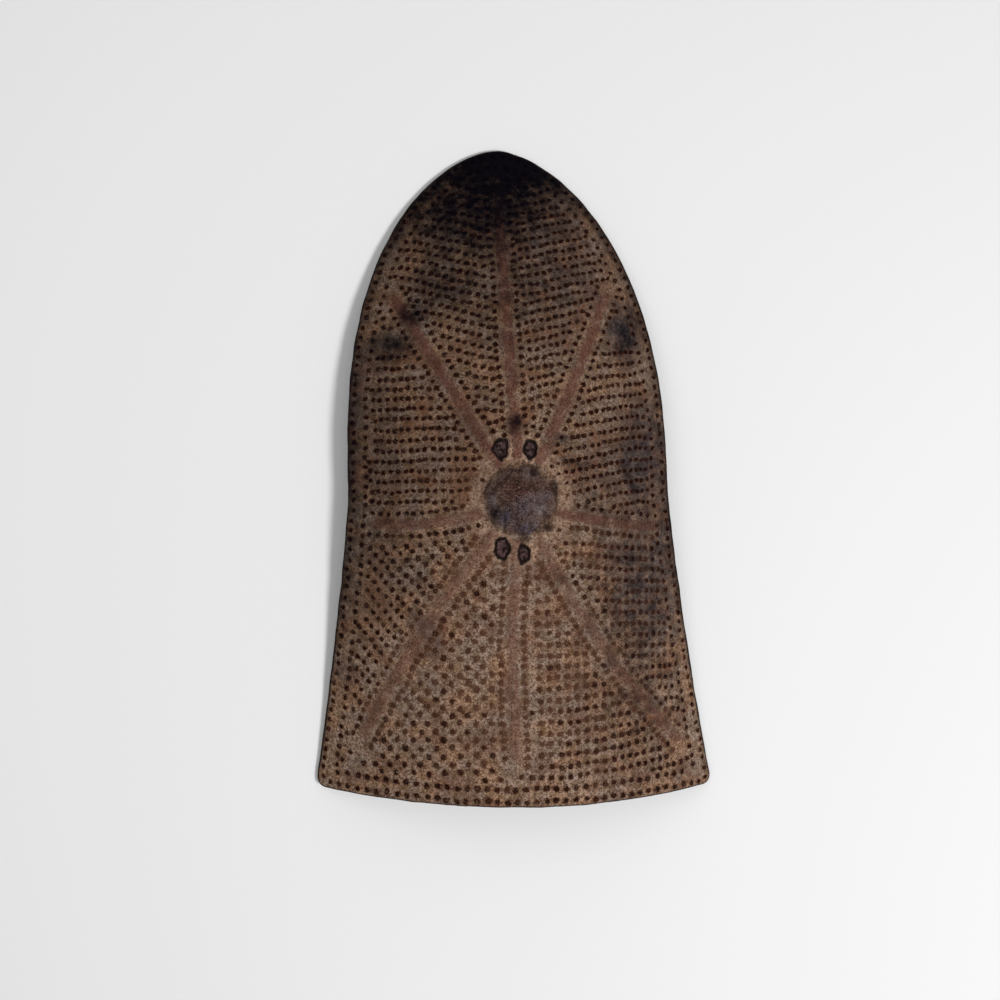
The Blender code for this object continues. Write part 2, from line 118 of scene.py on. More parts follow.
# Knobs, a field between each band and the next: row angles inside and out, column angle, two steps,
# and then the half width, half height and slant of one knob. The flank rows run beside the bands, and
# the fringe is the few small knobs around the boss.
knobs = {
    "rise": 0.0021,
    "domePower": 0.7,
    "moat": 0.0005,
    "moatRing": (1.18, 0.24),
    "jitter": 0.0007,
    "sway": 0.0022,
    "swaySize": 0.045,
    "shake": 0.0009,
    "widthSpread": (0.80, 1.14),
    "tallSpread": (0.80, 1.16),
    "riseSpread": (0.75, 1.15),
    "slantSpread": 24,
    "fade": 0.10,
    "ringed": 0.16,
    "flankWear": 0.70,
    "flankWearFrom": 0.05,
    "flankWearReach": 0.003,
    "wornDown": 0.5,
    "room": 0.74,
    "fringeFrom": 0.0085,
    "fringeTo": 0.004,
    "fringeSlotGap": 0.003,
    "fringeSize": 0.72,
    "fringeChance": (0.45, 0.85),
    "flankOffset": 0.0156,
    "flankPitch": 0.0113,
    "flankClear": 0.90,
    "fieldClear": 0.95,
    "fringeClear": 0.80,
    "rimRows": (0.0085, 0.0255),
    "rimPitch": 0.0134,
    "fields": (
        (20, 2, 92, 0.0108, 0.0140, 0.0041, 0.0032, 14),
        (14, 14, 92, 0.0106, 0.0126, 0.0041, 0.0031, 22),
        (-14, -14, 92, 0.0111, 0.0136, 0.0044, 0.0032, 18),
        (2, 2, 92, 0.0108, 0.0140, 0.0042, 0.0033, 12),
        (-45, -45, 45, 0.0124, 0.0152, 0.0046, 0.0042, -20),
        (-44, -44, 46, 0.0150, 0.0162, 0.0053, 0.0050, -20),
        (0, 9, 90, 0.0130, 0.0150, 0.0053, 0.0047, 4),
        (-10, -1, 88, 0.0118, 0.0148, 0.0047, 0.0041, -4),
    ),
    "barePatches": ((-0.180, 0.210, 0.034, 0.014), (0.147, 0.235, 0.020, 0.030)),
}

lane = {"inset": 0.0170, "halfWidth": 0.0045, "rise": 0.0010}

# Slots beside the boss: places from its centre, half widths, half lengths, and how much wider at one end
slots = {
    "places": (
        (-0.029, 0.068, 0.0078, 0.0112, 0.10),
        (0.011, 0.067, 0.0067, 0.0101, 0.42),
        (-0.025, -0.064, 0.0081, 0.0121, -0.22),
        (0.004, -0.072, 0.0059, 0.0101, 0.10),
    ),
    "ragged": 0.145,
    "flare": 0.0025,
    "flareDepth": 0.0035,
    "clearance": 0.0004,
    "headGap": 0.0013,
    "lip": 0.0009,
    "lipRing": (0.0038, 0.0028),
    "sag": 0.0010,
    "sagRing": (0.0, 0.0016),
    "wallSteps": ((0.4, 0.25), (0.0, 0.6)),
    "wallReach": 1.6,
    "sides": 48,
}

# How finely the hide is meshed: steps of its grids, rings of points around knobs and slots, and the gaps
# kept between one set of points and the next
fineness = {
    "outlineCount": 240,
    "outline": 0.002,
    "edge": 0.0026,
    "edgeGap": 0.0022,
    "edgeTurns": (0, 30, 60, 90, 120, 150, 180),
    "ground": 0.0034,
    "knobRings": ((0.52, 6, 0.0), (0.92, 9, 0.5), (1.36, 9, 0.0)),
    "knobGap": 1.62,
    "closeUp": 0.0023,
    "closeUpReach": 0.024,
    "closeUpHalf": (0.08, 0.09),
    "slotRings": (0.0014, 0.0030, 0.0050),
    "slotGap": 0.0060,
    "back": 0.0085,
    "backKnobGap": 1.7,
    "backSlotGap": 0.0008,
    "backEdgeGap": 0.002,
    "dentRing": (0.9, 5, 0.0),
    "hollow": 0.004,
    "hollowHalf": (0.06, 0.06),
    "hollowReach": (0.008, 0.010),
}

baseY = -hide["length"] / 2
topY = hide["length"] / 2
waistY = baseY + hide["waistFromBase"]
crestY = baseY + hide["crestFromBase"]
bossY = baseY + boss["fromBase"]


def halfWidth(y):
    rise = np.clip((y - waistY) / (topY - waistY), 0, 1)
    fall = np.clip((waistY - y) / hide["waistFromBase"], 0, 1)
    arch = hide["waistWidth"] / 2 * (1 - rise ** hide["archFullness"]) ** hide["archPower"]
    flare = (hide["baseWidth"] - hide["waistWidth"]) / 2 * fall ** hide["flarePower"]
    return np.where(y >= waistY, arch, hide["waistWidth"] / 2 + flare)


def centreLine(y):
    return hide["lean"] * (0.5 - (y - baseY) / hide["length"])


def crestHeight(y):
    low = hide["baseCrestDrop"] * ((crestY - y) / hide["crestFromBase"]) ** 2
    fall = np.clip((y - crestY) / (topY - crestY), 0, 1)
    high = (hide["crestHeight"] - hide["thickness"]) * fall ** hide["archFall"]
    return hide["crestHeight"] - np.where(y < crestY, low, high)


def rimHeight(y):
    lift = np.cos(np.pi * np.clip(np.abs(y), 0, topY) / hide["length"]) ** 2
    return hide["thickness"] + hide["rimLift"] * lift


def bend(y):
    narrow = np.maximum(halfWidth(y), hide["waistWidth"] / 16)
    return np.maximum(0, crestHeight(y) - rimHeight(y)) / narrow ** 2


bossX = float(centreLine(bossY)) + boss["offset"]


def bossSwell(x, y, radius):
    share = np.hypot(x - bossX, y - bossY) / radius
    return boss["rise"] * np.maximum(0, 1 - share ** 2)


def plainHeight(x, y):
    return crestHeight(y) - bend(y) * (x - centreLine(y)) ** 2


def slopeAcross(x, y):
    return 2 * bend(y) * (x - centreLine(y))


def faceForm(x, y):
    return plainHeight(x, y) + bossSwell(x, y, boss["radius"])


def backForm(x, y):
    deep = hide["thickness"] * np.sqrt(1 + slopeAcross(x, y) ** 2)
    return plainHeight(x, y) - deep + bossSwell(x, y, boss["radius"] - boss["wall"])


def arcToPlan(arc, y):
    doubleBend = 2 * bend(y)
    plan = arc + 0.0
    for _ in range(4):
        slope = doubleBend * plan
        steep = np.sqrt(1 + slope ** 2)
        length = plan / 2 * steep + np.arcsinh(slope) / (2 * doubleBend + 1e-9)
        plan = plan - (length - arc) / steep
    return plan


# Plan curves, as arrays of points

def spaced(points, step, closed, phase=0.0):
    line = np.vstack([points, points[:1]]) if closed else points
    run = np.concatenate([[0.0], np.cumsum(np.hypot(*np.diff(line, axis=0).T))])
    count = max(2, round(run[-1] / step))
    targets = (np.arange(count if closed else count + 1) + phase) * run[-1] / count
    targets = targets[targets <= run[-1]]
    return np.column_stack([np.interp(targets, run, line[:, axis]) for axis in (0, 1)])


def edgeOutline():
    count = fineness["outlineCount"]
    climb = np.arange(count) / count
    y = baseY + hide["waistFromBase"] * climb ** 1.5
    corner = np.maximum(0, hide["baseCorner"] - (y - baseY))
    nip = hide["baseCorner"] - np.sqrt(hide["baseCorner"] ** 2 - corner ** 2)
    archY = waistY + (topY - waistY) * np.sin(math.pi / 2 * climb)
    rightX = np.concatenate([halfWidth(y) - nip, halfWidth(archY)])
    rightY = np.concatenate([y, archY])
    x = np.concatenate([rightX, [0.0], -rightX[::-1]])
    y = np.concatenate([rightY, [topY], rightY[::-1]])
    outline = np.column_stack([x + centreLine(y), y])
    share = np.arange(1, count)[:, None] / count
    base = outline[-1] + (outline[0] - outline[-1]) * share
    base[:, 1] -= (4 * hide["baseBow"] * share * (1 - share))[:, 0]
    return spaced(np.vstack([outline, base]), fineness["outline"], True)


def inwardOf(loop):
    # Unit vectors that point in from a closed loop
    along = np.roll(loop, -2, axis=0) - np.roll(loop, 2, axis=0)
    along /= np.hypot(along[:, 0], along[:, 1])[:, None]
    return np.column_stack([-along[:, 1], along[:, 0]])


def inset(outline, distance):
    # The outline moved inwards, without the points that would cross over in its corners
    moved = outline + inwardOf(outline) * distance
    keep = np.ones(len(outline), bool)
    nearby, slack = 40, 0.97
    for shift in range(-nearby, nearby + 1):
        other = np.roll(outline, -shift, axis=0)
        keep &= np.hypot(*(moved - other).T) > distance * slack
    return moved[keep]


def insideLoop(points, loop):
    inside = np.zeros(len(points), bool)
    x, y = points[:, 0], points[:, 1]
    for here, after in zip(loop, np.roll(loop, -1, axis=0)):
        if here[1] != after[1]:
            spans = (here[1] > y) != (after[1] > y)
            cut = here[0] + (y - here[1]) / (after[1] - here[1]) * (after[0] - here[0])
            inside ^= spans & (cut > x)
    return inside


def bandAngle(line, radius):
    near, far, reach = line
    share = np.clip((radius - boss["radius"]) / (reach - boss["radius"]), 0, 1)
    return np.radians(near + (far - near) * share)


def bandPoints(line, offset, step):
    start = boss["radius"] + bands["startMargin"]
    radius = np.linspace(start, line[2], 61)
    angle = bandAngle(line, radius)
    x = bossX + radius * np.cos(angle) - np.sin(angle) * offset
    y = bossY + radius * np.sin(angle) + np.cos(angle) * offset
    return spaced(np.column_stack([x, y]), step, False)


def fieldOf(x, y):
    radius = np.hypot(x - bossX, y - bossY)
    angle = np.arctan2(y - bossY, x - bossX)
    turns = [(angle - bandAngle(line, radius)) % (2 * math.pi) for line in bands["lines"]]
    return np.argmin(turns, axis=0)


def ovalShare(points, x, y, wide, tall):
    # 0 in the middle of an oval placed from the boss's centre, and 1 on its outline
    return np.hypot((points[:, 0] - bossX - x) / wide, (points[:, 1] - bossY - y) / tall)


def slotDistance(points):
    # Distance from the slots' lips, roughly: 0 on a lip and negative over a hole
    away = []
    for x, y, wide, tall, _ in slots["places"]:
        wide, tall = wide + slots["flare"], tall + slots["flare"]
        away.append((ovalShare(points, x, y, wide, tall) - 1) * (wide + tall) / 2)
    return np.min(away, axis=0)


def clearOfSlots(points, margin):
    clear = np.ones(len(points), bool)
    for x, y, _, tall, _ in slots["places"]:
        away = np.hypot(points[:, 0] - bossX - x, points[:, 1] - bossY - y)
        clear &= away > tall + slots["flare"] + margin
    return clear


def bossDistance(points):
    return np.hypot(points[:, 0] - bossX, points[:, 1] - bossY)


# Layout of the knobs

class Spots:
    # Points of the plan, kept a distance apart along the curved face

    def __init__(self):
        self.cellSize = 0.02
        self.cells = {}
        self.points = []

    def cell(self, x, y):
        return int(x // self.cellSize), int(y // self.cellSize)

    def free(self, x, y, distance):
        column, row = self.cell(x, y)
        steep = math.sqrt(1 + float(slopeAcross(x, y)) ** 2)
        for across in (-1, 0, 1):
            for up in (-1, 0, 1):
                for otherX, otherY in self.cells.get((column + across, row + up), ()):
                    if math.hypot((x - otherX) * steep, y - otherY) < distance:
                        return False
        return True

    def add(self, x, y, distance):
        if self.free(x, y, distance):
            self.points.append((x, y))
            self.cells.setdefault(self.cell(x, y), []).append((x, y))


def fieldLattice(field):
    inner, outer, column, along, between = knobs["fields"][field][:5]
    rowWay, columnWay = math.radians(inner), math.radians(column)
    climb = between / math.sin(columnWay - rowWay)
    bow = (math.tan(math.radians(outer)) - math.tan(rowWay)) / (hide["waistWidth"] / 2) / 2
    reach = int(hide["length"] / along)
    row, step = np.meshgrid(np.arange(-reach, reach), np.arange(-reach, reach), indexing="ij")
    run, lift = (step * along).ravel(), (row * climb).ravel()
    arc = run * math.cos(rowWay) + lift * math.cos(columnWay)
    y = bossY + run * math.sin(rowWay) + lift * math.sin(columnWay) + bow * arc * np.abs(arc)
    keep = (np.abs(y) < topY) & (np.abs(arc) < hide["baseWidth"])
    arc, y = arc[keep], y[keep]
    lattice = np.column_stack([centreLine(y) + arcToPlan(arc, y), y])
    return lattice[fieldOf(*lattice.T) == field]


def knobCentres(outline):
    chance = random.Random(5)
    made = Spots()
    middles = Spots()
    quietZone = boss["radius"] + boss["smoothRing"]

    def add(spot, distance):
        x = spot[0] + chance.uniform(-1, 1) * knobs["jitter"]
        y = spot[1] + chance.uniform(-1, 1) * knobs["jitter"]
        made.add(x, y, distance)

    for distance in knobs["rimRows"]:
        for spot in spaced(inset(outline, distance), knobs["rimPitch"], True, 0.5):
            add(spot, knobs["room"] * knobs["rimPitch"])
    fieldEdge = inset(outline, knobs["rimRows"][-1] + knobs["flankPitch"] / 2)
    for line in bands["lines"]:
        for x, y in bandPoints(line, 0.0, knobs["flankPitch"] / 2):
            middles.add(x, y, 0.0)

    def allowed(points):
        far = bossDistance(points) > quietZone
        return far & clearOfSlots(points, knobs["flankPitch"] / 2) & insideLoop(points, fieldEdge)

    for line in bands["lines"]:
        for side in (-1, 1):
            row = bandPoints(line, side * knobs["flankOffset"], knobs["flankPitch"])
            for spot in row[allowed(row)]:
                if middles.free(*spot, knobs["flankOffset"] * knobs["flankClear"]):
                    add(spot, knobs["room"] * knobs["flankPitch"])
    for field, values in enumerate(knobs["fields"]):
        lattice = fieldLattice(field)
        for patch in knobs["barePatches"]:
            lattice = lattice[ovalShare(lattice, *patch) >= 1]
        for spot in lattice[allowed(lattice)]:
            if middles.free(*spot, knobs["flankOffset"] * knobs["fieldClear"]):
                add(spot, knobs["room"] * values[3])
    count = len(made.points)
    for field, values in enumerate(knobs["fields"]):
        lattice = fieldLattice(field)
        radius = bossDistance(lattice)
        near = (radius > boss["radius"] + knobs["fringeFrom"]) & (radius < quietZone + knobs["fringeTo"])
        for x, y in lattice[near & clearOfSlots(lattice, knobs["fringeSlotGap"])]:
            wanted = chance.random() < knobs["fringeChance"][int(x > bossX)]
            if wanted and middles.free(x, y, knobs["flankOffset"] * knobs["fringeClear"]):
                made.add(x, y, knobs["room"] * values[3])
    print("fringe:", len(made.points) - count, "small knobs around the boss")
    return np.array(made.points)


def treeOf(points):
    tree = KDTree(len(points))
    for index, (x, y) in enumerate(points):
        tree.insert((x, y, 0.0), index)
    tree.balance()
    return tree


class KnobCrowd:
    # Every knob's centre, half sizes, slant, height and wear, each a little off the next as hand work is

    def __init__(self, centres):
        self.count = len(centres)
        chance = np.random.default_rng(11)
        sway = np.column_stack([waves(centres, knobs["swaySize"], seed) for seed in (21.0, 33.0)])
        shake = chance.uniform(-1, 1, (self.count, 2))
        centres = centres + knobs["sway"] * sway + knobs["shake"] * shake
        self.centres = centres
        values = np.array(knobs["fields"])[fieldOf(*centres.T)]
        self.wide = values[:, 5] * chance.uniform(*knobs["widthSpread"], self.count)
        self.tall = values[:, 6] * chance.uniform(*knobs["tallSpread"], self.count)
        slant = chance.uniform(-knobs["slantSpread"], knobs["slantSpread"], self.count)
        self.slant = np.radians(values[:, 7] + slant)
        self.height = chance.uniform(*knobs["riseSpread"], self.count)
        inner = bossDistance(centres) < boss["radius"] + boss["smoothRing"]
        for sizes in (self.wide, self.tall, self.height):
            sizes[inner] *= knobs["fringeSize"]
        self.tone = chance.uniform(0, 1, self.count)
        self.ringed = (chance.uniform(0, 1, self.count) < knobs["ringed"]).astype(float)
        beside = bandAside(centres) < knobs["flankOffset"] + knobs["flankWearReach"]
        beside &= centres[:, 1] < bossY - knobs["flankWearFrom"]
        self.rubbed = beside * chance.uniform(0, knobs["flankWear"], self.count)
        self.height *= 1 - knobs["wornDown"] * self.rubbed
        self.steep = np.sqrt(1 + slopeAcross(*centres.T) ** 2)
        self.tree = treeOf(centres)

    def ring(self, share, count, phase):
        turn = (np.arange(count) + phase) * 2 * math.pi / count
        along = self.wide[:, None] * share * np.cos(turn)
        across = self.tall[:, None] * share * np.sin(turn)
        lean = self.slant[:, None]
        x = along * np.cos(lean) - across * np.sin(lean)
        y = along * np.sin(lean) + across * np.cos(lean)
        x = self.centres[:, :1] + x / self.steep[:, None]
        y = self.centres[:, 1:] + y
        return np.stack([x, y], axis=2), np.repeat(np.arange(self.count)[:, None], count, axis=1)

    def nearest(self, points):
        return np.array([self.tree.find((x, y, 0.0))[1] for x, y in points], int)

    def reach(self, points, owner):
        # 1 at a knob's foot, 0 at its middle
        away = points - self.centres[owner]
        x, y = away[:, 0] * self.steep[owner], away[:, 1]
        lean = self.slant[owner]
        along = (x * np.cos(lean) + y * np.sin(lean)) / self.wide[owner]
        across = (y * np.cos(lean) - x * np.sin(lean)) / self.tall[owner]
        return np.hypot(along, across)


# Relief of the face, measured outwards from its plain form

def smooth(value, low, high):
    share = np.clip((value - low) / (high - low), 0, 1)
    return share * share * (3 - 2 * share)


def ridge(value, middle, half):
    # 1 at a middle value, and soft sides
    return np.exp(-((value - middle) / half) ** 2)


def bandRuns(points):
    # For each band: its reach, the points' distance from the boss's centre, which of them lie on its side
    # of the boss, and how far they are from its middle
    radius, angle = bossDistance(points), np.arctan2(points[:, 1] - bossY, points[:, 0] - bossX)
    for line in bands["lines"]:
        turn = angle - bandAngle(line, radius)
        yield line[2], radius, np.cos(turn) > 0, np.abs(np.sin(turn)) * radius


def bandShare(points):
    # 1 along the middle of a band, 0 at its sides and past its end
    share = np.zeros(len(points))
    for reach, radius, ahead, aside in bandRuns(points):
        across = np.clip(1 - (aside / (bands["width"] / 2)) ** 2, 0, 1)
        ends = smooth(radius, *(boss["radius"] + step for step in bands["startFade"]))
        ends = ends * (1 - smooth(radius, *(reach + step for step in bands["endFade"])))
        share = np.maximum(share, np.where(ahead, across * ends, 0))
    return share


def bandAside(points):
    # Distance from the nearest band's middle, and 1 m past every band's end
    nearest = np.full(len(points), 1.0)
    for reach, radius, ahead, aside in bandRuns(points):
        nearest = np.minimum(nearest, np.where(ahead & (radius < reach + 0.01), aside, 1.0))
    return nearest


def waves(points, size, seed, depth=2):
    # Soft noise with features of one size, from about -1 to 1
    return np.array([noise.fractal((x / size, y / size, seed), 1.0, 2.0, depth) for x, y in points])


def foldShare(points):
    # 1 in the creases between the boss's lumps
    return 1 - smooth(np.abs(waves(points, boss["foldSize"], 14.0)), 0.0, boss["foldWidth"])


def edgeDistance(points, outline):
    tree = treeOf(outline)
    return np.array([tree.find((x, y, 0.0))[2] for x, y in points])


def faceRelief(points, crowd, outline):
    owner = crowd.nearest(points)
    reach = crowd.reach(points, owner)
    edge = edgeDistance(points, outline)
    radius = bossDistance(points)
    dome = np.clip(1 - reach ** 2, 0, 1) ** knobs["domePower"] * crowd.height[owner]
    moat = ridge(reach, *knobs["moatRing"])
    band = bandShare(points)
    strip = np.clip(1 - ((edge - lane["inset"]) / lane["halfWidth"]) ** 2, 0, 1)
    fromSlot = cutDistance(points)
    lip = ridge(fromSlot, *slots["lipRing"]) * slots["lip"]
    lip -= ridge(fromSlot, *slots["sagRing"]) * slots["sag"]
    onBoss = 1 - smooth(radius, *(boss["radius"] * share for share in boss["edge"]))
    foot = ridge(radius, boss["radius"] * boss["foot"][0], boss["foot"][1])
    cap = patches(points, (boss["cap"],))
    folds = foldShare(points) * onBoss
    wrinkles = waves(points, boss["wrinkleSize"], 4.0, 3) * (boss["wrinkleOnTop"] * onBoss + foot + cap)
    height = knobs["rise"] * dome - knobs["moat"] * moat + bands["rise"] * band + lane["rise"] * strip
    height += lip + hide["unevenness"] * waves(points, hide["unevenSize"], 1.0)
    height += boss["dent"] * onBoss * waves(points, boss["dentSize"], 2.0) + boss["wrinkle"] * wrinkles
    height -= boss["fold"] * folds
    height += hide["grain"] * waves(points, hide["grainSize"], 3.0) * (1 - onBoss)
    return height, owner, reach, edge, band


# Meshes

def hexGrid(step, low, high):
    rowShare = 0.866
    points = []
    for index, y in enumerate(np.arange(low[1], high[1], step * rowShare)):
        x = np.arange(low[0] + step / 2 * (index % 2), high[0], step)
        points.append(np.column_stack([x, np.full(len(x), y)]))
    return np.vstack(points)


def bossGrid(step, half):
    return hexGrid(step, (bossX - half[0], bossY - half[1]), (bossX + half[0], bossY + half[1]))


def cutShape(place, turn):
    # How far a slot's hand-cut edge departs from an oval
    seed = 40 * place[0]
    ragged = np.sin(3 * turn + 50 * seed) + 0.7 * np.sin(5 * turn - 90 * seed)
    return 1 + slots["ragged"] * (ragged + 0.5 * np.sin(8 * turn + 70 * seed)) / 2


def cutDistance(points):
    # Distance out from the nearest slot's edge
    away = []
    for place in slots["places"]:
        wide, tall = place[2] + slots["flare"], place[3] + slots["flare"]
        x, y = (points[:, 0] - bossX - place[0]) / wide, (points[:, 1] - bossY - place[1]) / tall
        x = x / (1 + place[4] * y / np.maximum(np.hypot(x, y), 0.2))
        share = np.hypot(x, y) / cutShape(place, np.arctan2(y, x))
        away.append((share - 1) * (wide + tall) / 2)
    return np.min(away, axis=0)


def slotLoop(place, growth, count):
    # A slot's outline: an oval cut by hand, wider at one end
    turn = np.arange(count) * 2 * math.pi / count
    wide, tall = place[2] + growth, place[3] + growth
    ragged = cutShape(place, turn)
    x = bossX + place[0] + wide * np.cos(turn) * (1 + place[4] * np.sin(turn)) * ragged
    y = bossY + place[1] + tall * np.sin(turn) * ragged
    return np.column_stack([x, y])


def planTriangles(loops, points):
    # Triangles between the first loop and the holes, as indexes into the loops and then the points
    stacked = np.vstack([*loops, points])
    edges, first = [], 0
    for loop in loops:
        ring = list(range(first, first + len(loop)))
        edges += list(zip(ring, ring[1:] + ring[:1]))
        first += len(loop)
    flat = [Vector(point) for point in stacked.tolist()]
    insideOnly, tolerance, holeReach = 1, 1e-7, 0.03
    _, _, faces, sources, _, _ = delaunay_2d_cdt(flat, edges, [], insideOnly, tolerance)
    source = np.array([min(each) if each else -1 for each in sources])
    faces = source[np.array(faces)]
    faces = faces[(faces >= 0).all(axis=1)]
    middle = stacked[faces].mean(axis=1)
    keep = np.ones(len(faces), bool)
    for loop in loops[1:]:
        near = np.hypot(*(middle - loop.mean(axis=0)).T) < holeReach
        keep[near] &= ~insideLoop(middle[near], loop)
    return stacked, faces[keep]


def outward(points, form, height):
    # The points in space, raised from a form by a height along its normal
    step = 0.0005
    x, y = points.T
    acrossSlope = (form(x + step, y) - form(x - step, y)) / (2 * step)
    alongSlope = (form(x, y + step) - form(x, y - step)) / (2 * step)
    normal = np.column_stack([-acrossSlope, -alongSlope, np.ones(len(x))])
    normal /= np.linalg.norm(normal, axis=1)[:, None]
    return np.column_stack([x, y, form(x, y)]) + normal * height[:, None]


def facePoints(outline, crowd):
    rings = [crowd.centres[:, None, :]]
    owners = [np.arange(crowd.count)[:, None]]
    for values in fineness["knobRings"]:
        ring, owner = crowd.ring(*values)
        rings.append(ring)
        owners.append(owner)
    points = np.concatenate([ring.reshape(-1, 2) for ring in rings])
    owner = np.concatenate([each.ravel() for each in owners])
    points = points[crowd.nearest(points) == owner]
    ground = hexGrid(fineness["ground"], outline.min(axis=0), outline.max(axis=0))
    closeUp = bossGrid(fineness["closeUp"], fineness["closeUpHalf"])
    reach = boss["radius"] + fineness["closeUpReach"]
    ground = np.vstack([ground[bossDistance(ground) > reach], closeUp[bossDistance(closeUp) <= reach]])
    ground = ground[crowd.reach(ground, crowd.nearest(ground)) > fineness["knobGap"]]
    ground = ground[cutDistance(ground) > fineness["slotGap"]]
    lips = [slotLoop(place, slots["flare"] + grow, slots["sides"]) for place in slots["places"]
            for grow in fineness["slotRings"]]
    return np.vstack([points, ground, *lips])


def backPoints(outline, crowd):
    grid = hexGrid(fineness["back"], outline.min(axis=0), outline.max(axis=0))
    grid = grid[crowd.reach(grid, crowd.nearest(grid)) > fineness["backKnobGap"]]
    hollow = bossGrid(fineness["hollow"], fineness["hollowHalf"])
    near, far = (boss["radius"] + margin for margin in fineness["hollowReach"])
    dents, _ = crowd.ring(*fineness["dentRing"])
    grid = np.vstack([grid[bossDistance(grid) > far], hollow[bossDistance(hollow) < near],
                      crowd.centres, dents.reshape(-1, 2)])
    return grid[slotDistance(grid) > fineness["backSlotGap"]]


def ringLoops(outline, steps):
    # Loops inside one another with the same number of points
    base = spaced(outline, fineness["edge"], True)
    wobble = waves(base, hide["wobbleSize"], 9.0)[:, None] * hide["edgeWobble"]
    return [base + inwardOf(base) * (step + wobble) for step in steps]


class Shell:
    # The points and triangles of one closed skin: a face, a back, and rings that join them

    def __init__(self, face, faces, back, backFaces):
        self.points = [face, back]
        self.faces = [faces, backFaces[:, ::-1] + len(face)]
        self.count = len(face) + len(back)

    def ring(self, points):
        self.points.append(points)
        self.count += len(points)
        return np.arange(self.count - len(points), self.count)

    def bridge(self, upper, lower):
        nextUpper, nextLower = np.roll(upper, -1), np.roll(lower, -1)
        self.faces.append(np.column_stack([upper, lower, nextLower]))
        self.faces.append(np.column_stack([upper, nextLower, nextUpper]))


def sheet(outline, rim, growth, points, gap):
    # One side of the hide in plan: its points and triangles, from the rim to the slots
    near = edgeDistance(points, outline)
    points = points[insideLoop(points, rim) & (near > hide["edgeRounding"] + gap)]
    holes = [slotLoop(place, growth, slots["sides"]) for place in slots["places"]]
    return planTriangles([rim, *holes], points)


def buildHide(outline, crowd, stand):
    rounding, turns, sides = hide["edgeRounding"], fineness["edgeTurns"], slots["sides"]
    loops = ringLoops(outline, [rounding * (1 - math.sin(math.radians(turn))) for turn in turns])
    points = facePoints(outline, crowd)
    plan, faces = sheet(outline, loops[0], slots["flare"], points, fineness["edgeGap"])
    height, owner, reach, edge, band = faceRelief(plan, crowd, outline)
    face = outward(plan, faceForm, height)

    points = backPoints(outline, crowd)
    backPlan, backFaces = sheet(outline, loops[-1], 0.0, points, fineness["backEdgeGap"])
    backReach = crowd.reach(backPlan, crowd.nearest(backPlan))
    dent = np.clip(1 - backReach ** 2, 0, 1) * hide["backDent"]
    rough = hide["backRough"] * waves(backPlan, hide["backRoughSize"], 6.0)
    rough = rough + hide["unevenness"] * waves(backPlan, hide["unevenSize"], 1.0)
    back = outward(backPlan, backForm, dent + rough)

    # Round the edge from the face to the back, and then line the slots
    shell = Shell(face, faces, back, backFaces)
    count = len(loops[0])
    previous = np.arange(count)
    for turn, loop in zip(turns[1:-1], loops[1:-1]):
        share = (1 - math.cos(math.radians(turn))) / 2
        z = face[:count, 2] * (1 - share) + back[:count, 2] * share
        here = shell.ring(np.column_stack([loop, z]))
        shell.bridge(previous, here)
        previous = here
    shell.bridge(previous, np.arange(count) + len(face))
    for index, place in enumerate(slots["places"]):
        upper = np.arange(sides) + count + index * sides
        previous = upper
        for widening, share in slots["wallSteps"]:
            z = face[upper, 2] - slots["flareDepth"] * share * slots["wallReach"]
            loop = slotLoop(place, slots["flare"] * widening, sides)
            here = shell.ring(np.column_stack([loop, z]))
            shell.bridge(here, previous)
            previous = here
        shell.bridge(upper + len(face), previous)

    mesh = bpy.data.meshes.new("hideSkin")
    places = np.vstack(shell.points) + np.array(stand)
    mesh.from_pydata(places.tolist(), [], np.vstack(shell.faces).tolist())
    mesh.update()
    paintHide(mesh, plan, owner, reach, edge, band, crowd, np.clip(1.25 - backReach, 0, 1))
    mesh.shade_smooth()
    print("hide:", crowd.count, "knobs,", len(mesh.polygons), "triangles")
    return placed("hideSkin", mesh)


def placed(name, data):
    thing = bpy.data.objects.new(name, data)
    bpy.context.scene.collection.objects.link(thing)
    return thing


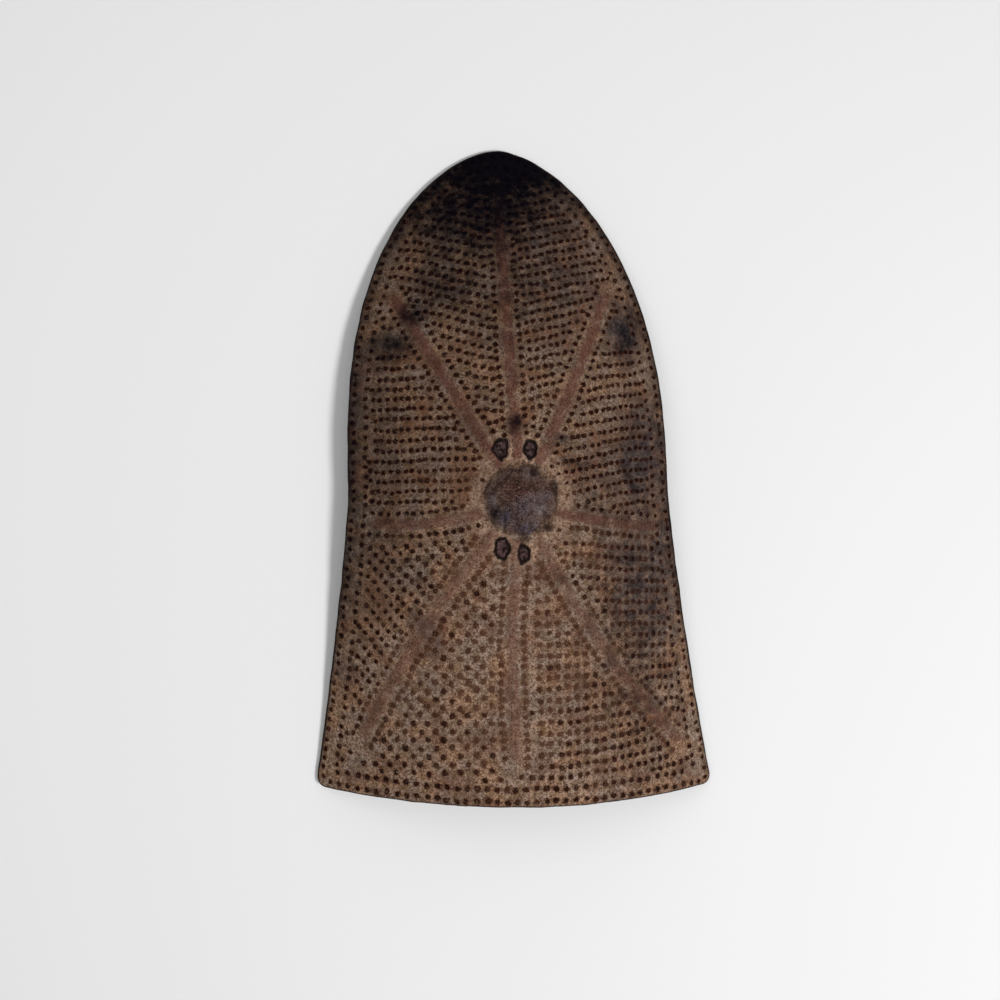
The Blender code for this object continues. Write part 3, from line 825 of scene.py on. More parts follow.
# Painted shade and dark stains on the face, most of it shade: the top end, the upper middle and the sides are
# darkened as if turned away from the light. Places from the boss's centre, half sizes and strength
shadeAndStainPlaces = (
    (-0.020, 0.486, 0.100, 0.062, 0.985),
    (-0.030, 0.430, 0.120, 0.060, 0.50),
    (-0.090, 0.390, 0.110, 0.060, 0.45),
    (-0.020, 0.330, 0.150, 0.120, 0.38),
    (-0.176, 0.208, 0.036, 0.022, 0.60),
    (0.188, -0.140, 0.070, 0.140, 0.34),
    (0.196, -0.340, 0.070, 0.110, 0.24),
    (0.120, -0.010, 0.080, 0.090, 0.26),
    (0.110, -0.210, 0.080, 0.140, 0.24),
    (-0.150, 0.250, 0.024, 0.018, 0.55),
    (-0.115, 0.290, 0.050, 0.035, 0.35),
    (0.148, 0.228, 0.024, 0.042, 0.52),
    (0.168, 0.085, 0.034, 0.075, 0.34),
    (-0.205, 0.090, 0.050, 0.150, 0.32),
    (-0.110, 0.060, 0.100, 0.110, 0.20),
    (-0.180, -0.090, 0.090, 0.080, 0.33),
    (-0.232, -0.180, 0.026, 0.110, 0.28),
    (0.010, 0.200, 0.140, 0.110, 0.14),
    (-0.010, 0.104, 0.012, 0.014, 0.60),
    (0.050, 0.080, 0.022, 0.012, 0.35),
    (0.075, 0.048, 0.018, 0.010, 0.35),
    (0.048, -0.104, 0.024, 0.012, 0.30),
    (-0.066, 0.026, 0.014, 0.012, 0.30),
    (-0.002, 0.042, 0.028, 0.008, 0.18),
    (0.018, 0.037, 0.010, 0.008, 0.30),
    (-0.038, -0.017, 0.007, 0.009, 0.70),
    (0.003, -0.052, 0.014, 0.006, 0.55),
    (0.037, -0.037, 0.010, 0.007, 0.65),
    (0.046, 0.016, 0.005, 0.014, 0.40),
    (-0.007, 0.020, 0.006, 0.009, 0.22),
)

# Blue-grey bloom, mostly along the right side
coolPlaces = (
    (0.176, 0.060, 0.050, 0.100, 0.62),
    (0.185, -0.110, 0.065, 0.130, 0.62),
    (0.147, 0.238, 0.034, 0.048, 0.70),
    (0.110, 0.020, 0.070, 0.090, 0.36),
    (0.060, 0.330, 0.090, 0.120, 0.42),
    (0.146, 0.054, 0.014, 0.010, 0.75),
    (0.178, 0.042, 0.014, 0.009, 0.80),
    (0.160, 0.018, 0.012, 0.010, 0.70),
    (0.060, 0.054, 0.016, 0.008, 0.60),
    (0.052, 0.082, 0.018, 0.010, 0.55),
    (-0.120, -0.200, 0.030, 0.060, 0.35),
    (-0.080, 0.400, 0.080, 0.050, 0.35),
    (0.200, -0.290, 0.040, 0.030, 0.30),
)

# Orange-brown warmth, mostly near the boss and low on the shield
warmPlaces = (
    (-0.078, 0.030, 0.028, 0.070, 0.60),
    (-0.060, -0.050, 0.040, 0.030, 0.45),
    (-0.195, -0.150, 0.040, 0.050, 0.55),
    (-0.060, 0.130, 0.030, 0.050, 0.40),
    (0.065, 0.140, 0.020, 0.060, 0.40),
    (0.040, -0.150, 0.040, 0.040, 0.35),
    (-0.030, -0.330, 0.080, 0.040, 0.35),
    (0.120, -0.300, 0.060, 0.040, 0.30),
    (-0.140, 0.100, 0.040, 0.020, 0.35),
)

# Where knobs have lost their black
fadedPlaces = (
    (0.000, -0.210, 0.125, 0.160, 0.74),
    (0.120, -0.200, 0.110, 0.160, 0.40),
    (-0.130, -0.290, 0.060, 0.070, 0.34),
    (0.090, -0.040, 0.070, 0.060, 0.38),
    (-0.075, -0.010, 0.045, 0.070, 0.34),
    (0.000, 0.150, 0.090, 0.070, 0.14),
)

# Tints on the boss: red, a painted blue-grey sheen and shade on its lower part, and a painted pale sheen
bossTints = {
    "redness": (
        (-0.008, 0.015, 0.020, 0.018, 0.95),
        (0.012, 0.024, 0.018, 0.010, 0.60),
        (0.000, -0.046, 0.020, 0.006, 0.50),
        (0.040, 0.024, 0.008, 0.010, 0.60),
    ),
    "blueSheenAndShade": (
        (-0.018, -0.022, 0.018, 0.014, 0.95),
        (0.008, -0.038, 0.022, 0.011, 0.95),
        (0.008, -0.008, 0.022, 0.016, 0.65),
        (0.026, 0.004, 0.014, 0.012, 0.45),
    ),
    "sheen": (
        (0.027, -0.013, 0.012, 0.007, 0.95),
        (-0.038, 0.000, 0.004, 0.010, 0.90),
        (0.016, 0.002, 0.012, 0.008, 0.30),
        (0.010, 0.033, 0.008, 0.005, 0.45),
    ),
}


def patches(points, places):
    # The strongest of some soft oval patches at each point
    strongest = np.zeros(len(points))
    for *oval, strength in places:
        strongest = np.maximum(strongest, strength * np.exp(-ovalShare(points, *oval) ** 3))
    return strongest


# Where the masks begin and end. Rings are a middle and a half width, and those around the boss have their
# middle as a share of its radius. The rest are pairs of low and high values, and strengths.
marks = {
    "bossEdge": (0.84, 0.98),
    "creaseRing": (0.96, 0.0035),
    "creaseEdge": (0.90, 1.05),
    "haloRing": (1.22, 0.015),
    "lipRing": (0.0055, 0.0035),
    "gapEdge": (0.0002, 0.0022),
    "gapShake": 0.0006,
    "band": (0.02, 0.80),
    "litLowland": (-0.09, 0.02),
    "rimEdge": (0.0010, 0.0048),
    "rimShade": (0.30, 0.70),
    "base": (-0.415, -0.390),
    "sideEdge": (0.002, 0.030),
    "sideShade": 0.42,
    "sides": (-0.40, 0.05),
    "stainShake": 0.12,
    "wear": (0.45, 1.1),
    "wearDrift": 0.22,
    "farReach": 3.0,
}


def writeMask(mesh, name, values, first=0, elsewhere=0.0):
    # One number at each vertex, given from the vertex called first onwards
    full = np.full(len(mesh.vertices), elsewhere, np.float32)
    full[first:first + len(values)] = values
    mesh.attributes.new(name, "FLOAT", "POINT").data.foreach_set("value", full)


def paintHide(mesh, plan, owner, reach, edge, band, crowd, dimple):
    # Masks for the material. Vertices past the face are the back and then the walls.
    size, y = boss["radius"], plan[:, 1]
    shake = waves(plan, 0.016, 7.0)
    radius = bossDistance(plan) * (1 + 0.07 * waves(plan, 0.030, 8.0) + 0.05 * shake)
    # Painted shade: the patches darken the face, mostly as shade on the top end, the upper middle and the
    # sides, with some stains, and the sides get a darker strip as shade
    light = np.ones(len(plan))
    for place in shadeAndStainPlaces:
        light *= 1 - patches(plan, (place,)) * (1 + marks["stainShake"] * shake)
    light *= 1 - marks["sideShade"] * (1 - smooth(edge, *marks["sideEdge"])) * smooth(y, *marks["sides"])
    fromSlot = cutDistance(plan) + marks["gapShake"] * waves(plan, 0.006, 5.0)
    least, spread = marks["wear"]
    faded = knobs["fade"] + patches(crowd.centres, fadedPlaces)
    drift = marks["wearDrift"] * waves(crowd.centres, 0.050, 12.0)
    worn = np.clip(faded * (least + spread * crowd.tone) + crowd.rubbed + drift, 0, 1)
    least, spread = marks["rimShade"]
    # Painted shade on the hide's edge, weaker along the base
    rim = (1 - smooth(edge, *marks["rimEdge"])) * (least + spread * smooth(y, *marks["base"]))
    folds = foldShare(plan) * (1 - smooth(radius, *(size * share for share in marks["creaseEdge"])))
    masks = {
        "reach": np.minimum(reach, marks["farReach"]),
        "tone": worn[owner],
        "ringed": crowd.ringed[owner],
        "cool": patches(plan, coolPlaces),
        "warm": patches(plan, warmPlaces),
        "band": smooth(band, *marks["band"]),
        # Painted light: the hide is painted lighter below the boss
        "litLowland": 1 - smooth(y, *(bossY + step for step in marks["litLowland"])),
        "boss": 1 - smooth(radius, *(size * share for share in marks["bossEdge"])),
        # Painted shade in the creases at the boss's foot and between its lumps
        "creaseShade": np.maximum(ridge(radius, size * marks["creaseRing"][0], marks["creaseRing"][1]), folds),
        "halo": ridge(radius, size * marks["haloRing"][0], marks["haloRing"][1]),
        # Painted shadow in the gaps around the thong heads
        "gap": 1 - smooth(fromSlot, *marks["gapEdge"]),
        "lip": ridge(fromSlot, *marks["lipRing"]),
        "rim": np.concatenate([rim, np.zeros(len(dimple))]),
        "shadeAndStain": 1 - np.clip(light, 0, 1),
    }
    for name, places in bossTints.items():
        masks[name] = patches(plan, places)
    # Painted shade: the walls of the edge and of the slots are left fully dark
    elsewhere = {"reach": marks["farReach"], "rim": 1.0}
    for name, values in masks.items():
        writeMask(mesh, name, values, 0, elsewhere.get(name, 0.0))
    writeMask(mesh, "inner", np.ones(len(dimple)), len(plan))
    writeMask(mesh, "dimple", dimple, len(plan))


# Grip: a bar behind the boss, forked at both ends into legs that come up through the slots
grip = {
    "fingerGap": 0.030,
    "width": 0.027,
    "thickness": 0.018,
    "endDepth": 0.017,
    "squareness": 0.7,
    "crotchRise": 0.006,
    "headDome": 0.00036,
    "headSteps": ((0.0, 0.0014), (0.0009, 0.0004), (0.0024, 0.0001), (0.0042, 0.0002)),
    "headLump": 0.0013,
    "headLumpSize": 0.0045,
    "sunkShades": (0, 0.5, 1, 0.85, 0.3),
    "sides": 40,
    "barRings": 90,
    "legRings": 9,
    "twists": 7,
    "strands": 3,
    "groove": 0.0009,
}


def slotMiddle(first):
    left, right = slots["places"][first:first + 2]
    x, y = bossX + (left[0] + right[0]) / 2, bossY + (left[1] + right[1]) / 2
    return Vector((x, y, float(backForm(x, y)) - grip["endDepth"]))


def barMiddles():
    top, bottom = slotMiddle(0), slotMiddle(2)
    low = float(plainHeight(bossX, bossY)) - hide["thickness"] - grip["fingerGap"] - grip["thickness"] / 2
    middles = []
    for index in range(grip["barRings"]):
        turn = math.pi * index / (grip["barRings"] - 1)
        along = math.copysign(abs(math.cos(turn)) ** grip["squareness"], math.cos(turn))
        ends = top.lerp(bottom, (1 - along) / 2)
        drop = (ends.z - low) * max(0.0, math.sin(turn)) ** grip["squareness"]
        middles.append(Vector((ends.x, ends.y, ends.z - drop)))
    return middles


def barRings():
    middles = barMiddles()
    rings = []
    last = len(middles) - 1
    for index, middle in enumerate(middles):
        way = (middles[min(last, index + 1)] - middles[max(0, index - 1)]).normalized()
        if index in (0, last):
            way = Vector((0, 0, -1 if index == 0 else 1))
        across = Vector((1, 0, 0))
        through = way.cross(across).normalized()
        share = index / last
        calm = math.sin(math.pi * share) ** 0.5
        ring = []
        for side in range(grip["sides"]):
            turn = 2 * math.pi * side / grip["sides"]
            wind = turn * grip["strands"] + 2 * math.pi * grip["twists"] * share
            shrink = 1 - grip["groove"] / grip["thickness"] * 2 * (1 - abs(math.sin(wind / 2))) * calm
            wide = across * grip["width"] / 2 * math.cos(turn) * shrink
            ring.append(middle + wide + through * grip["thickness"] / 2 * math.sin(turn) * shrink)
        rings.append(ring)
    return rings


def forkRings(mesh, end):
    quarter = grip["sides"] // 4
    back, front = end[quarter], end[3 * quarter]
    crotch = []
    for step in range(1, 2 * quarter):
        share = step / (2 * quarter)
        spot = back.co.lerp(front.co, share)
        spot.z += grip["crotchRise"] * math.sin(math.pi * share)
        crotch.append(mesh.verts.new(spot))
    left = crotch[:quarter][::-1] + end[quarter:3 * quarter + 1] + crotch[quarter:][::-1]
    right = end[:quarter + 1] + crotch + end[3 * quarter:]
    return left, right


def legRings(place, root):
    clear = slots["clearance"]

    def level(growth, form, drop):
        loop = slotLoop(place, growth, grip["sides"])
        return [Vector((x, y, float(form(x, y)) - drop)) for x, y in loop]

    below = level(-clear, backForm, clear)
    rings = []
    for step in range(1, grip["legRings"]):
        share = step / grip["legRings"]
        eased = share ** 2 * (3 - 2 * share)
        ring = []
        for start, stop in zip(root, below):
            spot = start.co.lerp(stop, eased)
            spot.z = start.co.z + (stop.z - start.co.z) * share
            ring.append(spot)
        rings.append(ring)
    rings += [below, level(-clear, faceForm, slots["flareDepth"])]
    rings.append(level(slots["flare"] * 0.5 - clear, faceForm, slots["flareDepth"] * 0.4))
    for inward, drop in grip["headSteps"]:
        rings.append(level(slots["flare"] - slots["headGap"] - inward, faceForm, drop))
    return rings


def roughened(points, seed):
    # The head's torn thong end: small lumps and pits
    moved = []
    for point in points:
        lump = noise.fractal(point / grip["headLumpSize"] + Vector((0, 0, seed)), 1.0, 2.0, 3)
        moved.append(point + Vector((0, 0, grip["headLump"] * lump)))
    return moved


def buildGrip(stand):
    mesh = bmesh.new()
    thong = mesh.verts.layers.float.new("head")
    # Painted shadow on the thong where it sinks into its slot
    slotShadow = mesh.verts.layers.float.new("slotShadow")
    rings = [[mesh.verts.new(point) for point in ring] for ring in barRings()]

    def join(upper, lower):
        for index in range(grip["sides"]):
            after = (index + 1) % grip["sides"]
            mesh.faces.new((upper[index], lower[index], lower[after], upper[after]))

    for upper, lower in zip(rings, rings[1:]):
        join(upper, lower)
    topEnd = rings[0][:1] + rings[0][:0:-1]
    for end, first in ((topEnd, 0), (rings[-1], 2)):
        for index, root in enumerate(forkRings(mesh, end)):
            place = slots["places"][first + index]
            lower = root
            levels = legRings(place, root)
            for level, points in enumerate(levels):
                past = level - len(levels) + len(grip["headSteps"])
                atHead = past >= 0
                if atHead:
                    points = roughened(points, 10 * first + index)
                upper = [mesh.verts.new(point) for point in points]
                shade = grip["sunkShades"][max(0, min(len(grip["sunkShades"]) - 1, past + 2))]
                for vert in upper:
                    vert[thong] = 1.0 if atHead else 0.0
                    vert[slotShadow] = shade if level < len(levels) - 1 else 0.0
                join(upper, lower)
                lower = upper
            middle = sum((vert.co for vert in lower), Vector()) / len(lower)
            tip = mesh.verts.new(middle + Vector((0, 0, grip["headDome"])))
            tip[thong] = 1.0
            for side in range(grip["sides"]):
                mesh.faces.new((lower[side], lower[(side + 1) % grip["sides"]], tip))
    bmesh.ops.recalc_face_normals(mesh, faces=mesh.faces)
    bmesh.ops.translate(mesh, verts=mesh.verts, vec=stand)
    data = bpy.data.meshes.new("gripRawhide")
    mesh.to_mesh(data)
    mesh.free()
    data.shade_smooth()
    print("grip:", len(data.polygons), "faces")
    return placed("gripRawhide", data)


# Materials

class NodeBook:
    # One material's nodes, added and joined with few words, and its tints by name

    def __init__(self, name, look=None):
        self.look = look or {}
        self.material = bpy.data.materials.new(name)
        self.material.use_nodes = True
        self.nodes = self.material.node_tree.nodes
        self.links = self.material.node_tree.links
        self.shader = self.nodes["Principled BSDF"]
        self.place = self.add("ShaderNodeTexCoord").outputs["Object"]

    def add(self, kind, **settings):
        node = self.nodes.new(kind)
        for key, value in settings.items():
            setattr(node, key, value)
        return node

    def feed(self, socket, value):
        if isinstance(value, str):
            value = self.look[value]
        if isinstance(value, bpy.types.NodeSocket):
            self.links.new(value, socket)
        elif isinstance(value, tuple) and len(value) == 3 and socket.type == "RGBA":
            socket.default_value = (*value, 1.0)
        else:
            socket.default_value = value

    def fill(self, node, **values):
        for name, value in values.items():
            self.feed(node.inputs[name], value)

    def shade(self, colour, rough, normal, shine):
        self.fill(self.shader, **{"Base Color": colour, "Roughness": rough, "Normal": normal})
        self.feed(self.shader.inputs["Specular IOR Level"], shine)
        return self.material

    def mask(self, name):
        return self.add("ShaderNodeAttribute", attribute_name=name).outputs["Fac"]

    def cloud(self, scale, detail=3.0, rough=0.55, warp=0.0):
        node = self.add("ShaderNodeTexNoise")
        self.fill(node, Vector=self.place, Scale=scale, Detail=detail, Roughness=rough, Distortion=warp)
        return node.outputs["Fac"]

    def cells(self, scale, feature="F1"):
        node = self.add("ShaderNodeTexVoronoi", feature=feature)
        self.fill(node, Vector=self.place, Scale=scale)
        return node.outputs["Distance"]

    def ramp(self, value, low, high, bottom=0.0, top=1.0):
        node = self.add("ShaderNodeMapRange", interpolation_type="SMOOTHSTEP")
        self.feed(node.inputs["Value"], value)
        for socket, number in (("From Min", low), ("From Max", high), ("To Min", bottom), ("To Max", top)):
            self.feed(node.inputs[socket], number)
        return node.outputs["Result"]

    def combine(self, operation, *values):
        node = self.add("ShaderNodeMath", operation=operation, use_clamp=operation == "MULTIPLY")
        for socket, value in zip(node.inputs, values):
            self.feed(socket, value)
        return node.outputs[0]

    def product(self, first, second):
        return self.combine("MULTIPLY", first, second)

    def wash(self, colour, *layers):
        # Tints laid over a colour in turn, each where its cloud or mask passes from low to high
        for cloud, low, high, most, tint, *kind in layers:
            colour = self.blend(self.ramp(cloud, low, high, 0, most), colour, tint, *kind)
        return colour

    def cover(self, colour, *layers):
        # Tints laid over a colour in turn, each by a share that is worked out already
        for share, tint in layers:
            colour = self.blend(share, colour, tint)
        return colour

    def torn(self, name, *shakes):
        # A mask whose edges are broken up by clouds
        value = self.mask(name)
        for cloud, amount in shakes:
            value = self.combine("MULTIPLY_ADD", self.combine("SUBTRACT", cloud, 0.5), amount, value)
        return value

    def blend(self, share, first, second, kind="MIX"):
        node = self.add("ShaderNodeMix", data_type="RGBA", blend_type=kind)
        self.feed(node.inputs["Factor"], share)
        for name, tint in (("A", first), ("B", second)):
            self.feed(next(each for each in node.inputs if each.name == name and each.type == "RGBA"), tint)
        return next(each for each in node.outputs if each.type == "RGBA")

    def bump(self, height, distance, strength=1.0, under=None):
        node = self.add("ShaderNodeBump")
        self.fill(node, Height=height, Distance=distance, Strength=strength)
        if under is not None:
            self.fill(node, Normal=under)
        return node.outputs["Normal"]


hideLook = {
    "ground": (0.116, 0.067, 0.044),
    "pale": (0.305, 0.208, 0.150),
    "groundLit": (0.155, 0.089, 0.057),
    "paleLit": (0.400, 0.275, 0.200),
    "ochre": (0.190, 0.120, 0.050),
    "russet": (0.135, 0.058, 0.036),
    "ember": (0.200, 0.090, 0.044),
    "slate": (0.024, 0.031, 0.046),
    "dark": (0.030, 0.014, 0.009),
    "band": (0.112, 0.034, 0.025),
    "bandLitBelow": (0.140, 0.056, 0.040),
    "core": (0.0130, 0.0027, 0.0008),
    "skirt": (0.080, 0.030, 0.0155),
    "bossBrown": (0.100, 0.062, 0.058),
    "bossRed": (0.125, 0.046, 0.031),
    "bossBlueSheenAndShade": (0.041, 0.039, 0.060),
    "bossPaleAndSheen": (0.190, 0.158, 0.158),
    "halo": (0.420, 0.280, 0.200),
    "haloDark": (0.190, 0.110, 0.070),
    "sootAndShade": (0.0013, 0.0011, 0.0034),
    "dust": (0.450, 0.360, 0.290),
    "coolTint": (0.80, 0.97, 1.18),
    "warmTint": (1.18, 0.94, 0.70),
    "inner": (0.080, 0.042, 0.026),
    "innerPale": (0.140, 0.084, 0.053),
}


def hideMaterial():
    book = NodeBook("wornHide", hideLook)
    # low is painted light: 1 below the boss, where the hide and the knobs are painted lighter
    tone, low = book.mask("tone"), book.mask("litLowland")
    drift = book.cloud(30, 2, 0.5, 0.3)
    broad = book.cloud(24, 3, 0.6)
    patch = book.cloud(70, 4, 0.65)
    mottle = book.cloud(210, 4, 0.75)
    grain = book.cloud(430, 3, 0.75)
    speck = book.cloud(800, 2, 0.6)

    # Bare hide between the knobs: dusty and patchy, darker in its pores, and painted lighter below the boss
    # as painted light
    ground, pale = book.blend(low, "ground", "groundLit"), book.blend(low, "pale", "paleLit")
    rubbedSkin = book.blend(book.ramp(mottle, 0.40, 0.62), "haloDark", "halo")
    rubbedSkin = book.wash(rubbedSkin, (grain, 0.48, 0.37, 0.80, "dark"))
    colour = book.wash(
        book.blend(book.ramp(mottle, 0.40, 0.60), ground, pale),
        (patch, 0.52, 0.64, 0.60, "ochre"),
        (broad, 0.48, 0.64, 0.50, "russet"),
        (drift, 0.48, 0.66, 0.45, "coolTint", "MULTIPLY"),
        (drift, 0.52, 0.34, 0.45, "warmTint", "MULTIPLY"),
        (book.torn("warm", (mottle, 1.2)), 0.15, 0.90, 0.75, "ember"),
        (book.torn("cool", (mottle, 1.6), (patch, 1.4)), 0.10, 1.00, 0.90, "slate"),
        (grain, 0.50, 0.38, 0.90, "dark"),
        (book.torn("halo", (patch, 2.4), (mottle, 1.4)), 0.30, 1.05, 0.92, rubbedSkin),
        (book.torn("lip", (mottle, 2.2)), 0.20, 1.00, 0.90, rubbedSkin),
    )

    # Bands: red-brown above the boss, tan below it and painted lighter there as painted light, rubbed through
    # in places
    bandTint = book.wash(
        book.blend(low, "band", "bandLitBelow"),
        (mottle, 0.44, 0.66, 0.36, "pale"),
        (grain, 0.50, 0.37, 0.60, "dark"),
        (broad, 0.52, 0.64, 0.45, "dark"),
    )
    shown = book.ramp(book.torn("band", (mottle, 2.8), (patch, 3.4)), 0.20, 1.05)
    colour = book.blend(book.product(shown, book.ramp(low, 0, 1, 0.82, 0.68)), colour, bandTint)

    # Knobs: a black top that fades into a brown skirt. Some are worn pale in the middle, and a few are rings.
    ragged = book.combine("ADD", book.torn("reach", (grain, 1.8)), book.product(low, 0.14))
    rubbed = book.product(book.ramp(ragged, 0.42, 0.12), book.ramp(speck, 0.54, 0.62, 0, 0.50))
    ringed = book.product(book.ramp(ragged, 0.62, 0.30), book.mask("ringed"))
    colour = book.cover(
        colour,
        (book.product(book.ramp(ragged, 1.48, 0.76), book.ramp(tone, 0.9, 0.1, 0.84, 0.96)), "skirt"),
        (book.product(book.ramp(ragged, 1.16, 0.66), book.ramp(tone, 0.80, 0.05, 0.16, 1.0)), "core"),
        (book.product(rubbed, book.ramp(low, 0, 1, 0.30, 1.0)), "pale"),
        (book.product(ringed, book.ramp(low, 0, 1, 0.25, 0.55)), "ground"),
    )

    # Boss: a painted blue-black sheen and shade below, red and cracked in the middle, pale specks and a
    # painted pale sheen on its lumps, painted shade in its creases
    redness = book.product(book.mask("redness"), book.ramp(patch, 0.40, 0.56, 0.5, 1.0))
    cracks = book.ramp(book.cells(165, "DISTANCE_TO_EDGE"), 0.17, 0.04)
    bossTint = book.cover(
        book.blend(book.ramp(mottle, 0.42, 0.62), "bossBrown", "ground"),
        (redness, "bossRed"),
        (book.product(cracks, redness), "core"),
        # Painted blue-grey sheen and shade on the boss's lower part
        (book.product(book.mask("blueSheenAndShade"), book.ramp(patch, 0.60, 0.44, 0.5, 1.0)), "bossBlueSheenAndShade"),
    )
    bossTint = book.wash(bossTint, (grain, 0.50, 0.37, 0.95, "core"), (grain, 0.54, 0.66, 0.70, "bossPaleAndSheen"))
    # Painted highlight: pale sheen patches on the boss
    sheen = book.product(book.mask("sheen"), book.ramp(mottle, 0.42, 0.58, 0.15, 1.0))
    bossMask = book.ramp(book.torn("boss", (mottle, 1.8)), 0.25, 0.80)
    colour = book.cover(
        colour,
        (book.product(bossMask, 0.94), book.blend(sheen, bossTint, "bossPaleAndSheen")),
        # Painted shade in the boss's creases
        (book.product(book.mask("creaseShade"), book.ramp(patch, 0.42, 0.58, 0.0, 0.80)), "dark"),
    )

    # Over everything: dust, painted shade with soot and stains, painted shadow in the slots' gaps and painted
    # shade on the rim, and then the back with painted shade in its dents
    dust = book.product(book.ramp(speck, 0.61, 0.70), book.ramp(patch, 0.46, 0.62, 0.10, 0.70))
    colour = book.wash(
        book.blend(dust, colour, "dust"),
        # Painted shade, with some stains, over the top end, the upper middle and the sides
        (book.torn("shadeAndStain", (mottle, 0.8), (patch, 0.9)), 0.02, 0.88, 0.985, "sootAndShade"),
        # Painted shadow in the gaps around the thong heads
        (book.torn("gap", (mottle, 1.4)), 0.15, 0.85, 0.95, "sootAndShade"),
    )
    innerTint = book.blend(book.ramp(patch, 0.35, 0.65), "inner", "innerPale")
    innerTint = book.wash(innerTint, (grain, 0.52, 0.38, 0.7, "dark"))
    # Painted shade in the dents behind the knobs
    dimple = book.product(book.mask("dimple"), book.ramp(mottle, 0.35, 0.60, 0.35, 0.85))
    colour = book.cover(
        colour,
        # Painted shade on the edge of the hide and on the walls
        (book.product(book.mask("rim"), 0.92), "sootAndShade"),
        (book.mask("inner"), book.blend(dimple, innerTint, "dark")),
    )

    rough = book.ramp(mottle, 0.3, 0.7, 0.70, 0.88)
    rough = book.combine("SUBTRACT", rough, book.product(bossMask, 0.36))
    pores = book.bump(book.cells(620), 0.0004, 0.6)
    creases = book.bump(book.cloud(330, 5, 0.75, 0.8), 0.0014, 1.0, pores)
    return book.shade(colour, rough, creases, 0.02)


gripLook = {
    "black": (0.0020, 0.0008, 0.0008),
    "dark": (0.0055, 0.0022, 0.0018),
    "worn": (0.070, 0.036, 0.024),
    "head": (0.098, 0.056, 0.054),
}


def gripMaterial():
    book = NodeBook("rawhideGrip", gripLook)
    fibre = book.cloud(300, 4, 0.6, 0.4)
    patch = book.cloud(70, 3, 0.6)
    clumps = book.cloud(150, 3, 0.6, 0.4)
    headTint = book.wash(
        book.blend(book.ramp(clumps, 0.32, 0.54), "dark", "head"),
        (fibre, 0.52, 0.38, 0.75, "dark"),
        (patch, 0.46, 0.60, 0.70, "dark"),
    )
    colour = book.blend(book.ramp(patch, 0.42, 0.66), "dark", "worn")
    colour = book.wash(
        book.blend(book.mask("head"), colour, headTint),
        (fibre, 0.60, 0.76, 0.6, "worn"),
        # Painted shadow where the thong sinks into its slot
        (book.torn("slotShadow", (clumps, 2.6), (fibre, 1.2)), 0.15, 0.95, 0.95, "black"),
    )
    return book.shade(colour, book.ramp(fibre, 0.3, 0.7, 0.5, 0.75), book.bump(fibre, 0.0014), 0.06)


def wear(thing, material):
    thing.data.materials.clear()
    thing.data.materials.append(material)


# Studio: a pale floor, soft light from above, and the photograph's viewpoint
studio = {
    "floorTone": 0.82,
    "floorHalf": 12.0,
    "floorRough": 0.9,
    "world": 0.38,
    "aim": (0, 0, 0.1),
    "keyPlace": (2.63, -1.35, 4.20),
    "keySize": 1.35,
    "keyPower": 178.0,
    "fillPlace": (-0.9, 0.5, 1.8),
    "fillSize": 1.6,
    "fillPower": 6.0,
    "cameraDistance": 2.0,
    "cameraTilt": 5.6,
    "cameraRoll": 0.7376,
    "focalPixels": 1401.86,
    "originPixel": (519.64, 469.84),
    "cameraAlong": 0.00185,
    "frameSize": 1000,
    "sensor": 36.0,
}


def areaLight(name, place, size, power, target):
    data = bpy.data.lights.new(name, "AREA")
    data.shape = "DISK"
    data.size = size
    data.energy = power
    lamp = placed(name, data)
    lamp.location = place
    lamp.rotation_euler = (Vector(target) - Vector(place)).to_track_quat("-Z", "Y").to_euler()


def setFloor():
    data = bpy.data.meshes.new("floor")
    half = studio["floorHalf"]
    corners = [(-half, -half, 0), (half, -half, 0), (half, half, 0), (-half, half, 0)]
    data.from_pydata(corners, [], [(0, 1, 2, 3)])
    floor = placed("floor", data)
    book = NodeBook("paleFloor")
    tone = studio["floorTone"]
    book.feed(book.shader.inputs["Base Color"], (tone, tone, tone))
    book.feed(book.shader.inputs["Roughness"], studio["floorRough"])
    wear(floor, book.material)


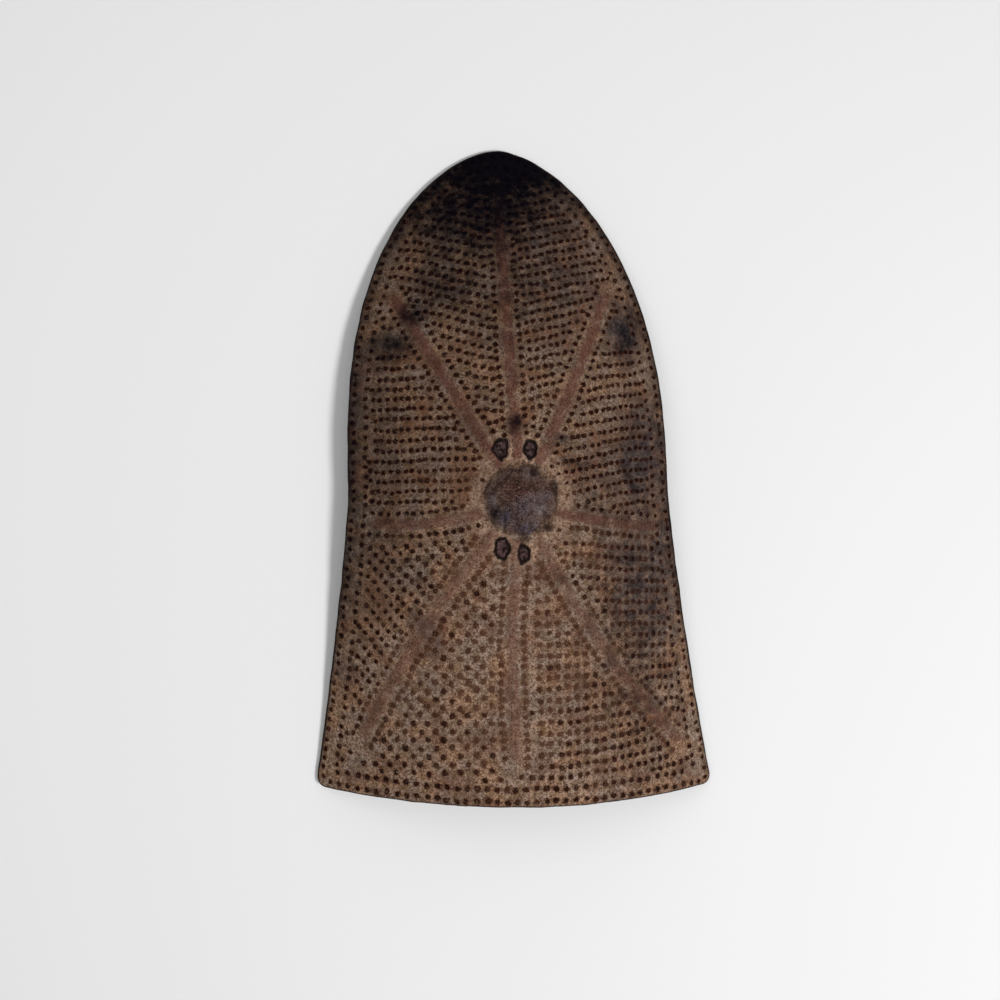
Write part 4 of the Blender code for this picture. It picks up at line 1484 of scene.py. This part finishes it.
def setLight():
    world = bpy.data.worlds.new("studioAir")
    world.use_nodes = True
    air = world.node_tree.nodes["Background"]
    air.inputs["Color"].default_value = (1, 1, 1, 1)
    air.inputs["Strength"].default_value = studio["world"]
    bpy.context.scene.world = world
    bpy.context.scene.view_settings.view_transform = "Standard"
    areaLight("keyLight", studio["keyPlace"], studio["keySize"], studio["keyPower"], studio["aim"])
    areaLight("fillLight", studio["fillPlace"], studio["fillSize"], studio["fillPower"], studio["aim"])


def setCamera():
    tilt, roll = math.radians(studio["cameraTilt"]), math.radians(studio["cameraRoll"])
    right = Vector((math.cos(tilt), 0, math.sin(tilt)))
    up = Vector((0, 1, 0))
    back = Vector((-math.sin(tilt), 0, math.cos(tilt)))
    turnedRight = right * math.cos(roll) + up * math.sin(roll)
    turnedUp = up * math.cos(roll) - right * math.sin(roll)
    data = bpy.data.cameras.new("photoCamera")
    data.sensor_width = studio["sensor"]
    data.lens = studio["focalPixels"] * studio["sensor"] / studio["frameSize"]
    data.shift_x = 0.5 - studio["originPixel"][0] / studio["frameSize"]
    data.shift_y = studio["originPixel"][1] / studio["frameSize"] - 0.5
    camera = placed("photoCamera", data)
    turned = Matrix((turnedRight, turnedUp, back)).transposed()
    place = back * studio["cameraDistance"] + Vector((0, studio["cameraAlong"], 0))
    camera.matrix_world = Matrix.Translation(place) @ turned.to_4x4()
    bpy.context.scene.camera = camera


def main():
    setFloor()
    setLight()
    setCamera()
    print("studio set")
    outline = edgeOutline()
    boxLow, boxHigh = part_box("hide")
    middle = (outline.min(axis=0) + outline.max(axis=0)) / 2
    stand = Vector(((boxLow.x + boxHigh.x) / 2 - middle[0], (boxLow.y + boxHigh.y) / 2 - middle[1], 0.0))
    crowd = KnobCrowd(knobCentres(outline))
    print("layout:", crowd.count, "knobs, stand", tuple(round(value, 5) for value in stand))

    skin = buildHide(outline, crowd, stand)
    wear(skin, hideMaterial())
    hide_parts("hide")
    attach(skin, "root")

    bar = buildGrip(stand)
    wear(bar, gripMaterial())
    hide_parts("grip")
    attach(bar, "root")
    print("materials done")


main()
